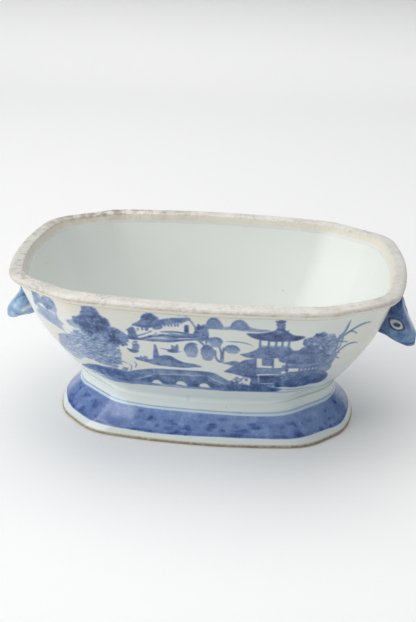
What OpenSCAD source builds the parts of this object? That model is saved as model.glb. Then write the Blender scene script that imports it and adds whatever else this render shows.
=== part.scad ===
// Rectangular soup tureen with canted corners, a lipped rim, a spreading foot and two
// boar's-head handles. The base of the tureen, without a lid. Millimetres, +Z up, length
// along X, front towards -Y. The origin is on the table, at the middle of the foot.

/* [Rim] */
// Length over the rim
rim_length = 292.6; // [260:0.1:330]
// Width over the rim, front to back
rim_width = 212; // [190:1:240]
// Height from the table to the top of the rim
rim_height = 124; // [115:1:140]
// Height of the lip that stands out round the top
lip_height = 7.6; // [5:0.1:10]
// How far the lip stands out past the wall below it
lip_overhang = 5; // [3:0.1:7]
// Width of the flat unglazed top, from its outer to its inner edge
rim_top = 12; // [10:0.5:14]
// How far each canted corner runs along the length, at the rim
rim_cant_along = 54.3; // [44:0.1:60]
// How far each canted corner runs across the width, at the rim
rim_cant_across = 38; // [30:1:44]

/* [Walls] */
// Half-length of the bowl at its waist, where the walls meet the neck of the foot
waist_reach = 103.5; // [100:0.5:106]
// Height of the waist above the table
waist_height = 34; // [32:0.5:36]
// Thickness of the walls, measured level
wall = 8.5; // [7:0.5:10]
// How much further out the ends of the bowl would reach if they didn't straighten below the lip
end_draw = 3.7; // [0:0.1:5]
// How far the wall swells out past a straight slope
belly = 2.8; // [0:0.1:5]
// How far the middle of a long side bows out past its corners
long_bow = 8; // [3:0.5:10]
// How far the middle of an end bows out past its corners
end_bow = 9; // [3:0.5:11]
// Rounding radius of the upright arrises, at the rim
arris_radius = 38; // [20:1:42]

/* [Floor and foot] */
// Height of the top of the floor inside the bowl
floor_top = 37; // [36.5:0.5:39]
// Thickness of the floor
floor_thickness = 8; // [6:0.5:9]
// Length over the foot where it stands
foot_length = 232; // [225:1:236]
// Width of the foot ring's standing edge
foot_edge = 7; // [6:0.5:8]
// How far each canted corner runs along the length, at the foot
foot_cant_along = 34; // [33:1:42]
// How far each canted corner runs across the width, at the foot
foot_cant_across = 33; // [31:1:38]
// Rounding radius of the arrises, at the foot
foot_arris_radius = 42; // [30:1:42]

/* [Handles] */
// How far each snout reaches past the end of the rim
snout_past_rim = 11.2; // [8:0.1:14]
// Width across the cheeks of a head
head_width = 31; // [26:1:36]
// Width across the blunt end of a snout
snout_width = 15; // [12:1:18]

/* [Hidden] */

white = "#dfe6e4";
biscuit = "#e4ded2";
cobalt = "#5f7fb2";
inkwash = "#c9d3df";

half_length = rim_length / 2;
flare_length = half_length + end_draw; // half the length that the end walls flare towards
half_width = rim_width / 2;
wall_top = rim_height - lip_height;
floor_under = floor_top - floor_thickness;
foot_inset = flare_length - foot_length / 2;
waist_inset = flare_length - waist_reach;
neck_inset = waist_inset + 2; // the narrowest part of the neck

// Steps round one quarter of the plan: end side, arris, cant, arris, long side.
end_steps = 3;
arris_steps = 4;
cant_steps = 2;
long_steps = 4;
quarter_steps = end_steps + 2 * arris_steps + cant_steps + long_steps;
round_steps = 4 * quarter_steps;
// Where the slabs are joined, half way round each arris.
end_seam = end_steps + arris_steps / 2;
long_seam = quarter_steps - long_steps - arris_steps / 2;

// ---- Plan of the vessel ----

function mix(p, q, t) = p + (q - p) * t;
function angle_between(u, v) = acos(u * v / (norm(u) * norm(v)));
function unit(v) = v / norm(v);

// A curve from p to q that leaves and arrives along the lines to c, without p itself.
function bend(p, c, q, steps) = [
    for (i = [1 : steps])
        let (t = i / steps)
        (1 - t) * (1 - t) * p + 2 * t * (1 - t) * c + t * t * q
];

// One quarter of the plan, from the middle of an end to the middle of a long side.
// inset is counted level from the rim's outer edge to the vessel's outer face, and
// depth from there into the clay. fall is 0 at the rim and 1 on the table.
cant_closing = 0.56; // how much shorter a cant gets as its face moves inwards
end_thinning = 0.18; // how much thinner the clay is at the ends of the lip

// How far the lip stands short of the ends' flare: nothing low down, all of it at the lip.
function straightening(z) =
    let (t = max(0, min(1, (z - 76) / (wall_top - 76))))
    t * t * (3 - 2 * t);

function quarter(inset, depth, fall) =
    let (
        short = straightening(rim_height * (1 - fall)),
        a = flare_length - end_draw * short - inset - depth * (1 - end_thinning * short),
        b = half_width - inset - depth,
        cant_along = mix(rim_cant_along + end_draw, foot_cant_along, fall)
            - end_draw * short - depth * cant_closing,
        cant_across = mix(rim_cant_across, foot_cant_across, fall) - depth * cant_closing,
        end_corner = [a - end_bow, b - cant_across],
        long_corner = [a - cant_along, b - long_bow],
        along = unit(long_corner - end_corner),
        end_turn = angle_between([-2 * end_bow / end_corner.y, 1], along),
        long_turn = angle_between(along, [-1, 2 * long_bow / long_corner.x]),
        arris = mix(arris_radius, foot_arris_radius, fall),
        end_run = arris * tan(end_turn / 2),
        long_run = arris * tan(long_turn / 2),
        end_y = end_corner.y - end_run,
        long_x = long_corner.x - long_run,
        end_side = [
            for (i = [0 : end_steps])
                let (y = end_y * i / end_steps)
                [a - end_bow * pow(y / end_corner.y, 2), y]
        ],
        cant_start = end_corner + along * end_run,
        cant_end = long_corner - along * long_run,
        long_side = [
            for (i = [0 : long_steps])
                let (x = long_x * (1 - i / long_steps))
                [x, b - long_bow * pow(x / long_corner.x, 2)]
        ]
    )
    concat(
        end_side,
        bend(end_side[end_steps], end_corner, cant_start, arris_steps),
        [for (i = [1 : cant_steps]) mix(cant_start, cant_end, i / cant_steps)],
        bend(cant_end, long_corner, long_side[0], arris_steps),
        [for (i = [1 : long_steps]) long_side[i]]
    );

// The whole plan, anticlockwise from the middle of the right end.
function plan(inset, depth, fall) =
    let (q = quarter(inset, depth, fall), n = quarter_steps)
    concat(
        [for (i = [0 : n - 1]) q[i]],
        [for (i = [n : -1 : 1]) [-q[i].x, q[i].y]],
        [for (i = [0 : n - 1]) -q[i]],
        [for (i = [n : -1 : 1]) [q[i].x, -q[i].y]]
    );

// One ring of points round the vessel at a height.
function ring(inset, depth, z) = [
    for (p = plan(inset, depth, 1 - z / rim_height)) [p.x, p.y, z]
];

// Inset of the wall's outer face at a height.
function wall_inset(z) =
    let (t = (wall_top - z) / (wall_top - waist_height))
    mix(lip_overhang, waist_inset, t) - belly * 4 * t * (1 - t);

// ---- Solids made from rings ----

function flatten(lists) = [for (l = lists) each l];

// A closed band that goes all the way round, from the corners of its cross-section,
// each [inset, depth, height], from the outer bottom up and over to the inner bottom.
module band(section) {
    rings = [for (s = section) ring(s[0], s[1], s[2])];
    rows = len(rings);
    n = round_steps;
    faces = [
        for (r = [0 : rows - 1], i = [0 : n - 1])
            let (r2 = (r + 1) % rows, i2 = (i + 1) % n)
            each [
                [r * n + i, r2 * n + i, r2 * n + i2],
                [r * n + i, r2 * n + i2, r * n + i2]
            ]
    ];
    polyhedron(points = flatten(rings), faces = faces, convexity = 6);
}

// One slab of wall between two seams of the plan.
wall_levels = 6;
module slab(first, last) {
    count = last - first;
    heights = [for (j = [0 : wall_levels]) mix(floor_top, wall_top, j / wall_levels)];
    outer = [for (z = heights) ring(wall_inset(z), 0, z)];
    inner = [for (z = heights) ring(wall_inset(z), wall, z)];
    function at(i) = (i + round_steps) % round_steps;
    strip = [
        for (level = concat(outer, inner))
            [for (i = [first : last]) level[at(i)]]
    ];
    m = count + 1;
    inner_row = wall_levels + 1;
    function id(row, i) = row * m + i;
    outer_faces = [
        for (j = [0 : wall_levels - 1], i = [0 : count - 1])
            each [
                [id(j, i), id(j + 1, i + 1), id(j, i + 1)],
                [id(j, i), id(j + 1, i), id(j + 1, i + 1)]
            ]
    ];
    inner_faces = [
        for (j = [inner_row : inner_row + wall_levels - 1], i = [0 : count - 1])
            each [
                [id(j, i), id(j, i + 1), id(j + 1, i + 1)],
                [id(j, i), id(j + 1, i + 1), id(j + 1, i)]
            ]
    ];
    level_faces = [
        for (i = [0 : count - 1])
            let (t = wall_levels, u = inner_row + wall_levels)
            each [
                [id(0, i), id(0, i + 1), id(inner_row, i + 1)],
                [id(0, i), id(inner_row, i + 1), id(inner_row, i)],
                [id(t, i), id(u, i + 1), id(t, i + 1)],
                [id(t, i), id(u, i), id(u, i + 1)]
            ]
    ];
    seam_faces = [
        for (j = [0 : wall_levels - 1])
            let (k = inner_row + j)
            each [
                [id(j, 0), id(k, 0), id(k + 1, 0)],
                [id(j, 0), id(k + 1, 0), id(j + 1, 0)],
                [id(j, count), id(k + 1, count), id(k, count)],
                [id(j, count), id(j + 1, count), id(k + 1, count)]
            ]
    ];
    polyhedron(
        points = flatten(strip),
        faces = concat(outer_faces, inner_faces, level_faces, seam_faces),
        convexity = 4
    );
}

// ---- The bowl ----

half_round = round_steps / 2;

module front_wall() {
    color(inkwash) slab(half_round + long_seam, round_steps - long_seam);
}

module back_wall() {
    color(inkwash) slab(long_seam, half_round - long_seam);
}

module left_end_wall() {
    color(inkwash) slab(half_round - end_seam, half_round + end_seam);
}

module right_end_wall() {
    color(inkwash) slab(-end_seam, end_seam);
}

module front_left_corner_wall() {
    color(inkwash) slab(half_round + end_seam, half_round + long_seam);
}

module front_right_corner_wall() {
    color(inkwash) slab(round_steps - long_seam, round_steps - end_seam);
}

module back_left_corner_wall() {
    color(inkwash) slab(half_round - long_seam, half_round - end_seam);
}

module back_right_corner_wall() {
    color(inkwash) slab(end_seam, long_seam);
}

// A flat slab that the walls stand on, with its edge showing at the waist.
module bowl_floor() {
    edge = [
        ring(neck_inset - 0.5, 0, floor_under),
        ring(waist_inset, 0, waist_height),
        ring(wall_inset(floor_top), 0, floor_top)
    ];
    n = round_steps;
    sides = [
        for (r = [0 : 1], i = [0 : n - 1])
            let (p = r * n, i2 = (i + 1) % n)
            each [[p + i, p + n + i, p + n + i2], [p + i, p + n + i2, p + i2]]
    ];
    color(white)
    polyhedron(
        points = flatten(edge),
        faces = concat(
            sides,
            [[for (i = [0 : n - 1]) i]],
            [[for (i = [n - 1 : -1 : 0]) 2 * n + i]]
        ),
        convexity = 2
    );
}

// The lip: a thick strip laid round the top of the walls, flat and unglazed on top.
module rim_band() {
    color(biscuit)
    band([
        [lip_overhang, 0, wall_top],
        [lip_overhang * 0.6, 0, wall_top + 0.6],
        [lip_overhang * 0.24, 0, wall_top + 2.6],
        [0, 0, rim_height - 2.2],
        [0.6, 0, rim_height - 0.7],
        [1.8, 0, rim_height],
        [0, rim_top - 1.6, rim_height],
        [0, rim_top - 0.4, rim_height - 0.6],
        [0, rim_top, rim_height - 1.8],
        [lip_overhang, wall, wall_top]
    ]);
}

// The foot: an upright neck that spreads to a broad foot and stands on a flat edge.
module foot_ring() {
    color(white)
    band([
        [foot_inset + 0.6, 0, 0],
        [foot_inset, 0, 0.8],
        [foot_inset + 1.4, 0, 4],
        [foot_inset + 3.8, 0, 7.6],
        [foot_inset + 7.4, 0, 12],
        [foot_inset + 10.8, 0, 16.6],
        [neck_inset - 0.6, 0, 21.5],
        [neck_inset, 0, 25],
        [neck_inset - 0.5, 0, floor_under],
        [neck_inset - 0.5, 12, floor_under],
        [neck_inset - 0.5, 10, 20],
        [foot_inset, foot_edge + 5, 10],
        [foot_inset, foot_edge, 0]
    ]);
}

// ---- Boar's heads ----

// Each slice of the head is [lower x, lower z, upper x, upper z, half-width] in the
// upright plane through the middle of the end, x counted from the end of the flare.
snout = snout_past_rim - end_draw;
cheek = head_width / 2;
head_slices = [
    [-16, 66.0, -2.5, 102, cheek * 0.96],
    [-9, 62.8, 0.6, 92.5, cheek],
    [-2.5, 60.6, 4.2, 83, cheek * 0.86],
    [snout - 7, 59.6, snout - 1, 75.5, snout_width * 0.62],
    [snout - 4, 60.2, snout + 0.3, 71.5, snout_width * 0.52],
    [snout - 2.6, 61.6, snout, 69.6, snout_width * 0.4]
];
head_points = 20;

// A rounded-square ring through a slice.
function slice_ring(s) = [
    for (i = [0 : head_points - 1])
        let (
            a = 360 * i / head_points,
            across = sign(cos(a)) * pow(abs(cos(a)), 0.7),
            up = sign(sin(a)) * pow(abs(sin(a)), 0.8),
            t = 0.5 + 0.5 * up
        )
        [flare_length + mix(s[0], s[2], t), s[4] * across, mix(s[1], s[3], t)]
];

// The ring where the head is luted to the wall.
function root_ring() = [
    for (i = [0 : head_points - 1])
        let (
            a = 360 * i / head_points,
            across = sign(cos(a)) * pow(abs(cos(a)), 0.7),
            z = mix(68.5, 107, 0.5 + 0.5 * sign(sin(a)) * pow(abs(sin(a)), 0.8)),
            y = cheek * 0.84 * across,
            inset = wall_inset(z),
            reach = flare_length - end_draw * straightening(z) - inset,
            corner_y = half_width - inset - rim_cant_across
        )
        [reach - end_bow * pow(y / corner_y, 2), y, z]
];

module boar_head() {
    rings = concat([root_ring()], [for (s = head_slices) slice_ring(s)]);
    rows = len(rings);
    n = head_points;
    skin = [
        for (r = [0 : rows - 2], i = [0 : n - 1])
            let (i2 = (i + 1) % n)
            each [
                [r * n + i, (r + 1) * n + i2, r * n + i2],
                [r * n + i, (r + 1) * n + i, (r + 1) * n + i2]
            ]
    ];
    root_middle = rows * n;
    snout_middle = rows * n + 1;
    ends = [
        for (i = [0 : n - 1])
            let (i2 = (i + 1) % n, last = (rows - 1) * n)
            each [[root_middle, i, i2], [snout_middle, last + i2, last + i]]
    ];
    root_z = 87.5;
    reach = flare_length - end_draw * straightening(root_z);
    centre = [reach - wall_inset(root_z), 0, root_z];
    nose = [flare_length + snout - 1.2, 0, 65.5];
    polyhedron(
        points = concat(flatten(rings), [centre, nose]),
        faces = concat(skin, ends),
        convexity = 4
    );
}

// A pair of pointed ears laid back under the lip, one on each side of the head.
ear_reach = 6.5;
module head_ears() {
    root = [flare_length - 8.5, cheek * 0.8, 96];
    tip = [flare_length - 4.5, cheek * 0.62, wall_top - 1.7];
    for (side = [-1, 1])
        hull() {
            translate([root.x, side * root.y, root.z])
                scale([1, 0.4, 1.2]) sphere(r = ear_reach, $fn = 16);
            translate([tip.x, side * tip.y, tip.z]) sphere(r = 1.5, $fn = 16);
        }
}

module right_boar_head() {
    color(cobalt) boar_head();
}

module left_boar_head() {
    color(cobalt) mirror([1, 0, 0]) boar_head();
}

module right_head_ears() {
    color(cobalt) head_ears();
}

module left_head_ears() {
    color(cobalt) mirror([1, 0, 0]) head_ears();
}

front_wall();
back_wall();
left_end_wall();
right_end_wall();
front_left_corner_wall();
front_right_corner_wall();
back_left_corner_wall();
back_right_corner_wall();
bowl_floor();
rim_band();
foot_ring();
left_boar_head();
right_boar_head();
left_head_ears();
right_head_ears();
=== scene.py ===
import math
import bmesh
import bpy
import numpy as np
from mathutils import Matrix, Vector, noise


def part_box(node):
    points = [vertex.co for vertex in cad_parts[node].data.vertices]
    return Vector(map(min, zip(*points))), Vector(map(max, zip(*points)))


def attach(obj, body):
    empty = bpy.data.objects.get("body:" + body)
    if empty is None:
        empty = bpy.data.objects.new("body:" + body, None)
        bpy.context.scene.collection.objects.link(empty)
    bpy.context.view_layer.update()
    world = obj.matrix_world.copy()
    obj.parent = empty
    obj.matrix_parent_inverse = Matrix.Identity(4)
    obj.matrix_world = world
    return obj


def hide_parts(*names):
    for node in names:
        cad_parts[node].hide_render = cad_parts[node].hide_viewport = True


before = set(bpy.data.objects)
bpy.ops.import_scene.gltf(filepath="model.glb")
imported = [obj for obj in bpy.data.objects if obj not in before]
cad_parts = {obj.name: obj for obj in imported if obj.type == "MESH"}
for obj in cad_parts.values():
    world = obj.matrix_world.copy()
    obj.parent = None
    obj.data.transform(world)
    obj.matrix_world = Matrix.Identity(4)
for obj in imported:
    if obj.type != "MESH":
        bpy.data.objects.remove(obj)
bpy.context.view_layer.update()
mm = 0.001  # everything below is worked out in millimetres


def nodeBox(node):
    low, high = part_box(node)
    return [c / mm for c in low], [c / mm for c in high]


rimLow, rimHigh = nodeBox("rim_band")
floorLow, floorHigh = nodeBox("bowl_floor")
headLow, headHigh = nodeBox("right_boar_head")

vessel = {
    "halfLength": rimHigh[0],
    "halfWidth": rimHigh[1],
    "height": rimHigh[2],
    "endDraw": 3.7,  # how far the ends of the lip stand short of the flare below
    "endThinning": 0.18,
    "rimCant": (58.0, 38.0),  # what each canted corner takes off the length and the width
    "footCant": (34.0, 33.0),
    "longBow": 8.0,
    "endBow": 9.0,
    "arris": (38.0, 42.0),  # rounding at the rim and at the foot
    "closing": 0.56,  # how fast the cants shorten going into the clay
    "drawFrom": 76.0,  # height from which the ends are drawn in towards the lip
    "wallTop": rimLow[2],
    "overhang": 5.0,
    "neckBase": 29.0,  # where walls and foot meet
    "waist": 34.0,
    "waistInset": 46.5,
    "belly": 2.8,
    "wall": 8.5,
    "neckDraw": 3.0,  # how far the ends of the neck and the foot are drawn in
    "footDraw": 1.5,
    "floorTop": floorHigh[2],
    "floorUnder": floorLow[2],
}


# plan and profile

def mix(a, b, t):
    return a + (b - a) * t


def ease(x, low, high):
    t = np.clip((x - low) / (high - low), 0, 1)
    return t * t * (3 - 2 * t)


def drawnIn(z):
    # 0 low on the wall, 1 at the lip
    return ease(z, vessel["drawFrom"], vessel["wallTop"])


def turnBetween(u, v):
    return math.acos(np.dot(u, v) / np.linalg.norm(u) / np.linalg.norm(v))


def quarterPlan(inset, depth, z):
    # from the middle of the right end to the middle of the back side, always 186 points
    fall = 1 - z / vessel["height"]
    short = float(drawnIn(z))
    a = vessel["halfLength"] + vessel["endDraw"] * (1 - short) - inset - depth * (
        1 - vessel["endThinning"] * short
    )
    b = vessel["halfWidth"] - inset - depth
    cantAlong, cantAcross = (
        mix(vessel["rimCant"][k], vessel["footCant"][k], fall) - depth * vessel["closing"] for k in (0, 1)
    )
    cantAlong -= vessel["endDraw"] * short
    arris = mix(*vessel["arris"], fall)
    endCorner = np.array([a - vessel["endBow"], b - cantAcross])
    longCorner = np.array([a - cantAlong, b - vessel["longBow"]])
    cant = (longCorner - endCorner) / np.linalg.norm(longCorner - endCorner)
    endTangent = np.array([-2 * vessel["endBow"] / endCorner[1], 1])
    longTangent = np.array([-1, 2 * vessel["longBow"] / longCorner[0]])
    endRun = arris * math.tan(turnBetween(endTangent, cant) / 2)
    longRun = arris * math.tan(turnBetween(cant, longTangent) / 2)
    y = np.linspace(0, endCorner[1] - endRun, 40)
    endSide = np.stack([a - vessel["endBow"] * (y / endCorner[1]) ** 2, y], 1)
    x = np.linspace(longCorner[0] - longRun, 0, 60)
    longSide = np.stack([x, b - vessel["longBow"] * (x / longCorner[0]) ** 2], 1)
    cantStart, cantEnd = endCorner + cant * endRun, longCorner - cant * longRun
    t = np.linspace(0, 1, 33)[1:-1, None]
    endArris = (1 - t) ** 2 * endSide[-1] + 2 * t * (1 - t) * endCorner + t * t * cantStart
    longArris = (1 - t) ** 2 * cantEnd + 2 * t * (1 - t) * longCorner + t * t * longSide[0]
    return np.concatenate([endSide, endArris, np.linspace(cantStart, cantEnd, 24), longArris, longSide])


def wholePlan(inset, depth, z):
    # the closed plan, anticlockwise from the middle of the right end, 740 points
    q = quarterPlan(inset, depth, z)
    return np.concatenate([q[:-1], (q * [-1, 1])[::-1][:-1], (-q)[:-1], (q * [1, -1])[::-1][:-1]])


def wallInset(z):
    t = (vessel["wallTop"] - z) / (vessel["wallTop"] - vessel["waist"])
    return mix(vessel["overhang"], vessel["waistInset"], t) - vessel["belly"] * 4 * t * (1 - t)


def smoothThrough(points, steps):
    # a Catmull-Rom curve through the points
    p = np.array([points[0], *points, points[-1]], float)
    out = []
    for a, b, c, d in zip(p, p[1:], p[2:], p[3:]):
        t = np.linspace(0, 1, steps, endpoint=False)[:, None]
        out.append(
            0.5 * (
                2 * b + (c - a) * t + (2 * a - 5 * b + 4 * c - d) * t**2 + (3 * b - a - 3 * c + d) * t**3
            )
        )
    return np.concatenate([*out, p[-1:]])


footProfile = smoothThrough(
    [
        (34.6, 0), (34, 0.8), (35.4, 4), (37.8, 7.6), (41.4, 12), (44.8, 16.6), (47.9, 21.5), (48.5, 25),
        (48, vessel["neckBase"])
    ],
    6
)  # inset and height


def outerInset(z):
    wallSide = mix(footProfile[-1, 0], wallInset(z), ease(z, 28, 36))
    return np.where(z >= vessel["neckBase"], wallSide, np.interp(z, footProfile[:, 1], footProfile[:, 0]))


planSize = 740  # points round the closed plan
# plan indices of the middles of the eight arrises, from the right end round
arrises = [55, 110, 370 - 110, 370 - 55, 370 + 55, 370 + 110, 740 - 110, 740 - 55]


def planAt(plan, index):
    whole = np.arange(planSize + 1)
    closed = np.vstack([plan, plan[:1]])
    index = np.mod(index, planSize)
    return np.stack([np.interp(index, whole, closed[:, k]) for k in (0, 1)], 1)


def columnsBetween(start, end, spacing):
    # fractional plan indices spaced evenly by arc length, at two thirds of the wall's height
    plan = wholePlan(wallInset(88.0), 0, 88.0)
    fine = np.linspace(start, end, 800)
    run = np.r_[0, np.cumsum(np.linalg.norm(np.diff(planAt(plan, fine), axis=0), axis=1))]
    count = max(8, int(round(run[-1] / spacing)) + 1)
    return np.interp(np.linspace(0, run[-1], count), run, fine)


# the loft: a section carried round the plan

class Field:
    # a socket of a node tree that answers to + - * / and the like
    def __init__(self, tree, socket):
        self.tree, self.socket = tree, socket

    def maths(self, operation, *others):
        values = [o.socket if isinstance(o, Field) else o for o in others]
        return self.tree.make("ShaderNodeMath", {"operation": operation}, dict(enumerate(values)))

    def __add__(self, other):
        return self.maths("ADD", self, other)

    def __sub__(self, other):
        return self.maths("SUBTRACT", self, other)

    def __mul__(self, other):
        return self.maths("MULTIPLY", self, other)

    def __truediv__(self, other):
        return self.maths("DIVIDE", self, other)

    def __mod__(self, other):
        return self.maths("FLOORED_MODULO", self, other)

    def __rsub__(self, other):
        return self.maths("SUBTRACT", other, self)

    def __rtruediv__(self, other):
        return self.maths("DIVIDE", other, self)

    __radd__, __rmul__ = __add__, __mul__

    def floor(self):
        return self.maths("FLOOR", self)

    def absolute(self):
        return self.maths("ABSOLUTE", self)

    def clamped(self):
        return self.tree.make("ShaderNodeClamp", {}, {"Value": self})

    def between(self, low, high):
        # 0 below low, 1 above high, eased
        settings = {"interpolation_type": "SMOOTHSTEP"}
        return self.tree.make(
            "ShaderNodeMapRange", settings, {"Value": self, "From Min": low, "From Max": high}
        )


class Tree:
    # wraps a node tree: make() adds a node from its type, settings and socket values
    def __init__(self, nodeTree):
        self.nodes, self.links = nodeTree.nodes, nodeTree.links

    def make(self, kind, settings=None, values=None, out=0):
        node = self.nodes.new(kind)
        for key, value in (settings or {}).items():
            if key == "stops":
                while len(node.color_ramp.elements) < len(value):
                    node.color_ramp.elements.new(1)
                for element, (place, colour) in zip(node.color_ramp.elements, value):
                    element.position = place
                    element.color = (*colour, 1) if hasattr(colour, "__len__") else (
                        colour, colour, colour, 1
                    )
            else:
                setattr(node, key, value)
        for key, value in (values or {}).items():
            value = value.socket if isinstance(value, Field) else value
            if isinstance(value, bpy.types.NodeSocket):
                self.links.new(value, node.inputs[key])
            else:
                node.inputs[key].default_value = value
        if out is None:
            return node
        return Field(self, node.outputs[out])


def buildLoftTree():
    # every column comes from the plan mesh and every row from the section mesh, joined up by one rule:
    # base + inset * narrowing + depth * thickness + fall * sinking + flare * spreading, lifted to the
    # row's height
    group = bpy.data.node_groups.new("carry section round plan", "GeometryNodeTree")
    wanted = [
        ("Plan", "NodeSocketGeometry"), ("Section", "NodeSocketObject"), ("Closed", "NodeSocketInt"),
        ("Unevenness", "NodeSocketFloat"), ("Ripple Size", "NodeSocketFloat"), ("Seed", "NodeSocketInt"),
        ("Finish", "NodeSocketMaterial"),
    ]
    sockets = {n: group.interface.new_socket(n, in_out="INPUT", socket_type=k).identifier for n, k in wanted}
    group.interface.new_socket("Vessel", in_out="OUTPUT", socket_type="NodeSocketGeometry")
    tree = Tree(group)
    given = tree.make("NodeGroupInput", out=None)
    ask = {n: Field(tree, given.outputs[n]) for n, _ in wanted}
    section = tree.make("GeometryNodeObjectInfo", {}, {"Object": ask["Section"]}, "Geometry")
    planCount = tree.make("GeometryNodeAttributeDomainSize", {}, {"Geometry": ask["Plan"]}, "Point Count")
    rowCount = tree.make("GeometryNodeAttributeDomainSize", {}, {"Geometry": section}, "Point Count")
    columns, rows = planCount + ask["Closed"], rowCount + 1
    grid = tree.make("GeometryNodeMeshGrid", {}, {"Vertices X": columns, "Vertices Y": rows}, "Mesh")
    index = tree.make("GeometryNodeInputIndex")
    column = (index / rows + 0.0001).floor() % planCount
    row = (index - (index / rows + 0.0001).floor() * rows) % rowCount

    def sample(geometry, name, place, kind="FLOAT_VECTOR"):
        if name:
            field = tree.make("GeometryNodeInputNamedAttribute", {"data_type": kind}, {"Name": name})
        else:
            field = tree.make("GeometryNodeInputPosition")
        return tree.make(
            "GeometryNodeSampleIndex", {"data_type": kind},
            {"Geometry": geometry, "Value": field, "Index": place}
        )

    def vector(operation, *values):
        return tree.make("ShaderNodeVectorMath", {"operation": operation}, dict(enumerate(values)))

    def scaled(v, amount):
        return tree.make("ShaderNodeVectorMath", {"operation": "SCALE"}, {0: v, "Scale": amount})

    rowPlace = sample(section, "", row)  # inset, depth, height
    split = tree.make("ShaderNodeSeparateXYZ", {}, {0: rowPlace}, None)
    inset, depth, height = (Field(tree, split.outputs[k]) for k in range(3))
    fall = sample(section, "fall", row, "FLOAT")
    flare = sample(section, "flare", row, "FLOAT")
    base = sample(ask["Plan"], "", column)
    moved = vector("ADD", base, scaled(sample(ask["Plan"], "narrowing", column), inset))
    moved = vector("ADD", moved, scaled(sample(ask["Plan"], "thickness", column), depth))
    moved = vector("ADD", moved, scaled(sample(ask["Plan"], "sinking", column), fall))
    moved = vector("ADD", moved, scaled(sample(ask["Plan"], "spreading", column), flare))
    lifted = vector("ADD", moved, tree.make("ShaderNodeCombineXYZ", {}, {"Z": height}))
    # the potter's hand: slow waves pushed in or out, and a little up and down
    ripple = tree.make(
        "ShaderNodeTexNoise", {"noise_dimensions": "4D"},
        {"Vector": lifted, "W": ask["Seed"] * 7.3, "Scale": 1.0 / ask["Ripple Size"], "Detail": 2.0}, "Color",
    )
    push = scaled(vector("SUBTRACT", ripple, (0.5, 0.5, 0.5)), ask["Unevenness"] * 2)
    offset = vector("ADD", lifted, push)
    placed = tree.make("GeometryNodeSetPosition", {}, {"Geometry": grid, "Position": offset})
    for name, field in (("rowNumber", row), ("columnNumber", column)):
        placed = tree.make(
            "GeometryNodeStoreNamedAttribute", {"data_type": "FLOAT", "domain": "POINT"},
            {"Geometry": placed, "Name": name, "Value": field},
        )
    joined = tree.make("GeometryNodeMergeByDistance", {}, {"Geometry": placed, "Distance": 0.002})
    real = tree.make("GeometryNodeRealizeInstances", {}, {"Geometry": joined})
    painted = tree.make("GeometryNodeSetMaterial", {}, {"Geometry": real, "Material": ask["Finish"]})
    result = tree.make("NodeGroupOutput", out=None)
    tree.links.new(painted.socket, result.inputs[0])
    return group, sockets


loftTree, loftSockets = buildLoftTree()


def pointMesh(name, points, **attributes):
    mesh = bpy.data.meshes.new(name)
    mesh.from_pydata(np.asarray(points, float).tolist(), [], [])
    for key, values in attributes.items():
        values = np.asarray(values, np.float32)
        flat = values.ndim == 1
        layer = mesh.attributes.new(key, "FLOAT" if flat else "FLOAT_VECTOR", "POINT")
        layer.data.foreach_set("value" if flat else "vector", values.ravel())
    piece = bpy.data.objects.new(name, mesh)
    bpy.context.scene.collection.objects.link(piece)
    return piece


def flatVectors(v):
    return np.c_[v, np.zeros(len(v))]


def loftGuides(columns, top, foot):
    # base ring and the directions, from (inset, height) at fall 0 and at fall 1
    base, sunk = wholePlan(top[0], 0, top[1]), wholePlan(foot[0], 0, foot[1])
    guides = {
        "narrowing": (wholePlan(top[0] + 4, 0, top[1]) - base) / 4,
        "thickness": (wholePlan(top[0], 8, top[1]) - base) / 8,
        "sinking": sunk - base,
        "spreading": np.c_[np.sign(base[:, 0]) * ease(np.abs(base[:, 0]), 70, 115), np.zeros(planSize)],
    }
    return flatVectors(planAt(base, columns)), {n: flatVectors(planAt(v, columns)) for n, v in guides.items()}


def neckDrawAt(z):
    return mix(vessel["footDraw"], vessel["neckDraw"], ease(z, 6, 18)) * ease(z, 42, 28)


def flareAt(z):
    # what a straight line from lip to foot misses of the ends' flare, with its thinner clay
    span = vessel["wallTop"] - vessel["neckBase"]
    flare = vessel["endDraw"] * ((vessel["wallTop"] - z) / span * -1 + 1 - drawnIn(z))
    return flare - neckDrawAt(z)


def loft(
    name, columns, section, falls, top, foot, closed, finish, uneven=0.0, ripple=40.0, seed=1, flares=None
):
    # section rows are (inset from the guide, depth, height)
    base, directions = loftGuides(columns, top, foot)
    piece = pointMesh(name, base, **directions)
    rows = pointMesh(name + " section", section, fall=falls, flare=falls * 0 if flares is None else flares)
    modifier = piece.modifiers.new("loft", "NODES")
    modifier.node_group = loftTree
    settings = {
        "Section": rows, "Closed": int(closed), "Unevenness": uneven, "Ripple Size": ripple, "Seed": seed,
        "Finish": finish
    }
    for key, value in settings.items():
        modifier[loftSockets[key]] = value
    bpy.context.view_layer.update()
    seen = piece.evaluated_get(bpy.context.evaluated_depsgraph_get())
    mesh = bpy.data.meshes.new_from_object(seen)
    piece.modifiers.clear()
    old = piece.data
    piece.data = mesh
    bpy.data.meshes.remove(old)
    bpy.data.objects.remove(rows)
    return piece


def meshPoints(mesh):
    points = np.empty(len(mesh.vertices) * 3)
    mesh.vertices.foreach_get("co", points)
    return points.reshape(-1, 3)


def readNumbers(mesh, name):
    values = np.empty(len(mesh.vertices), np.float32)
    mesh.attributes[name].data.foreach_get("value", values)
    return values


def writeNumbers(mesh, name, values):
    layer = mesh.attributes.get(name) or mesh.attributes.new(name, "FLOAT", "POINT")
    layer.data.foreach_set("value", np.asarray(values, np.float32))


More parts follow.
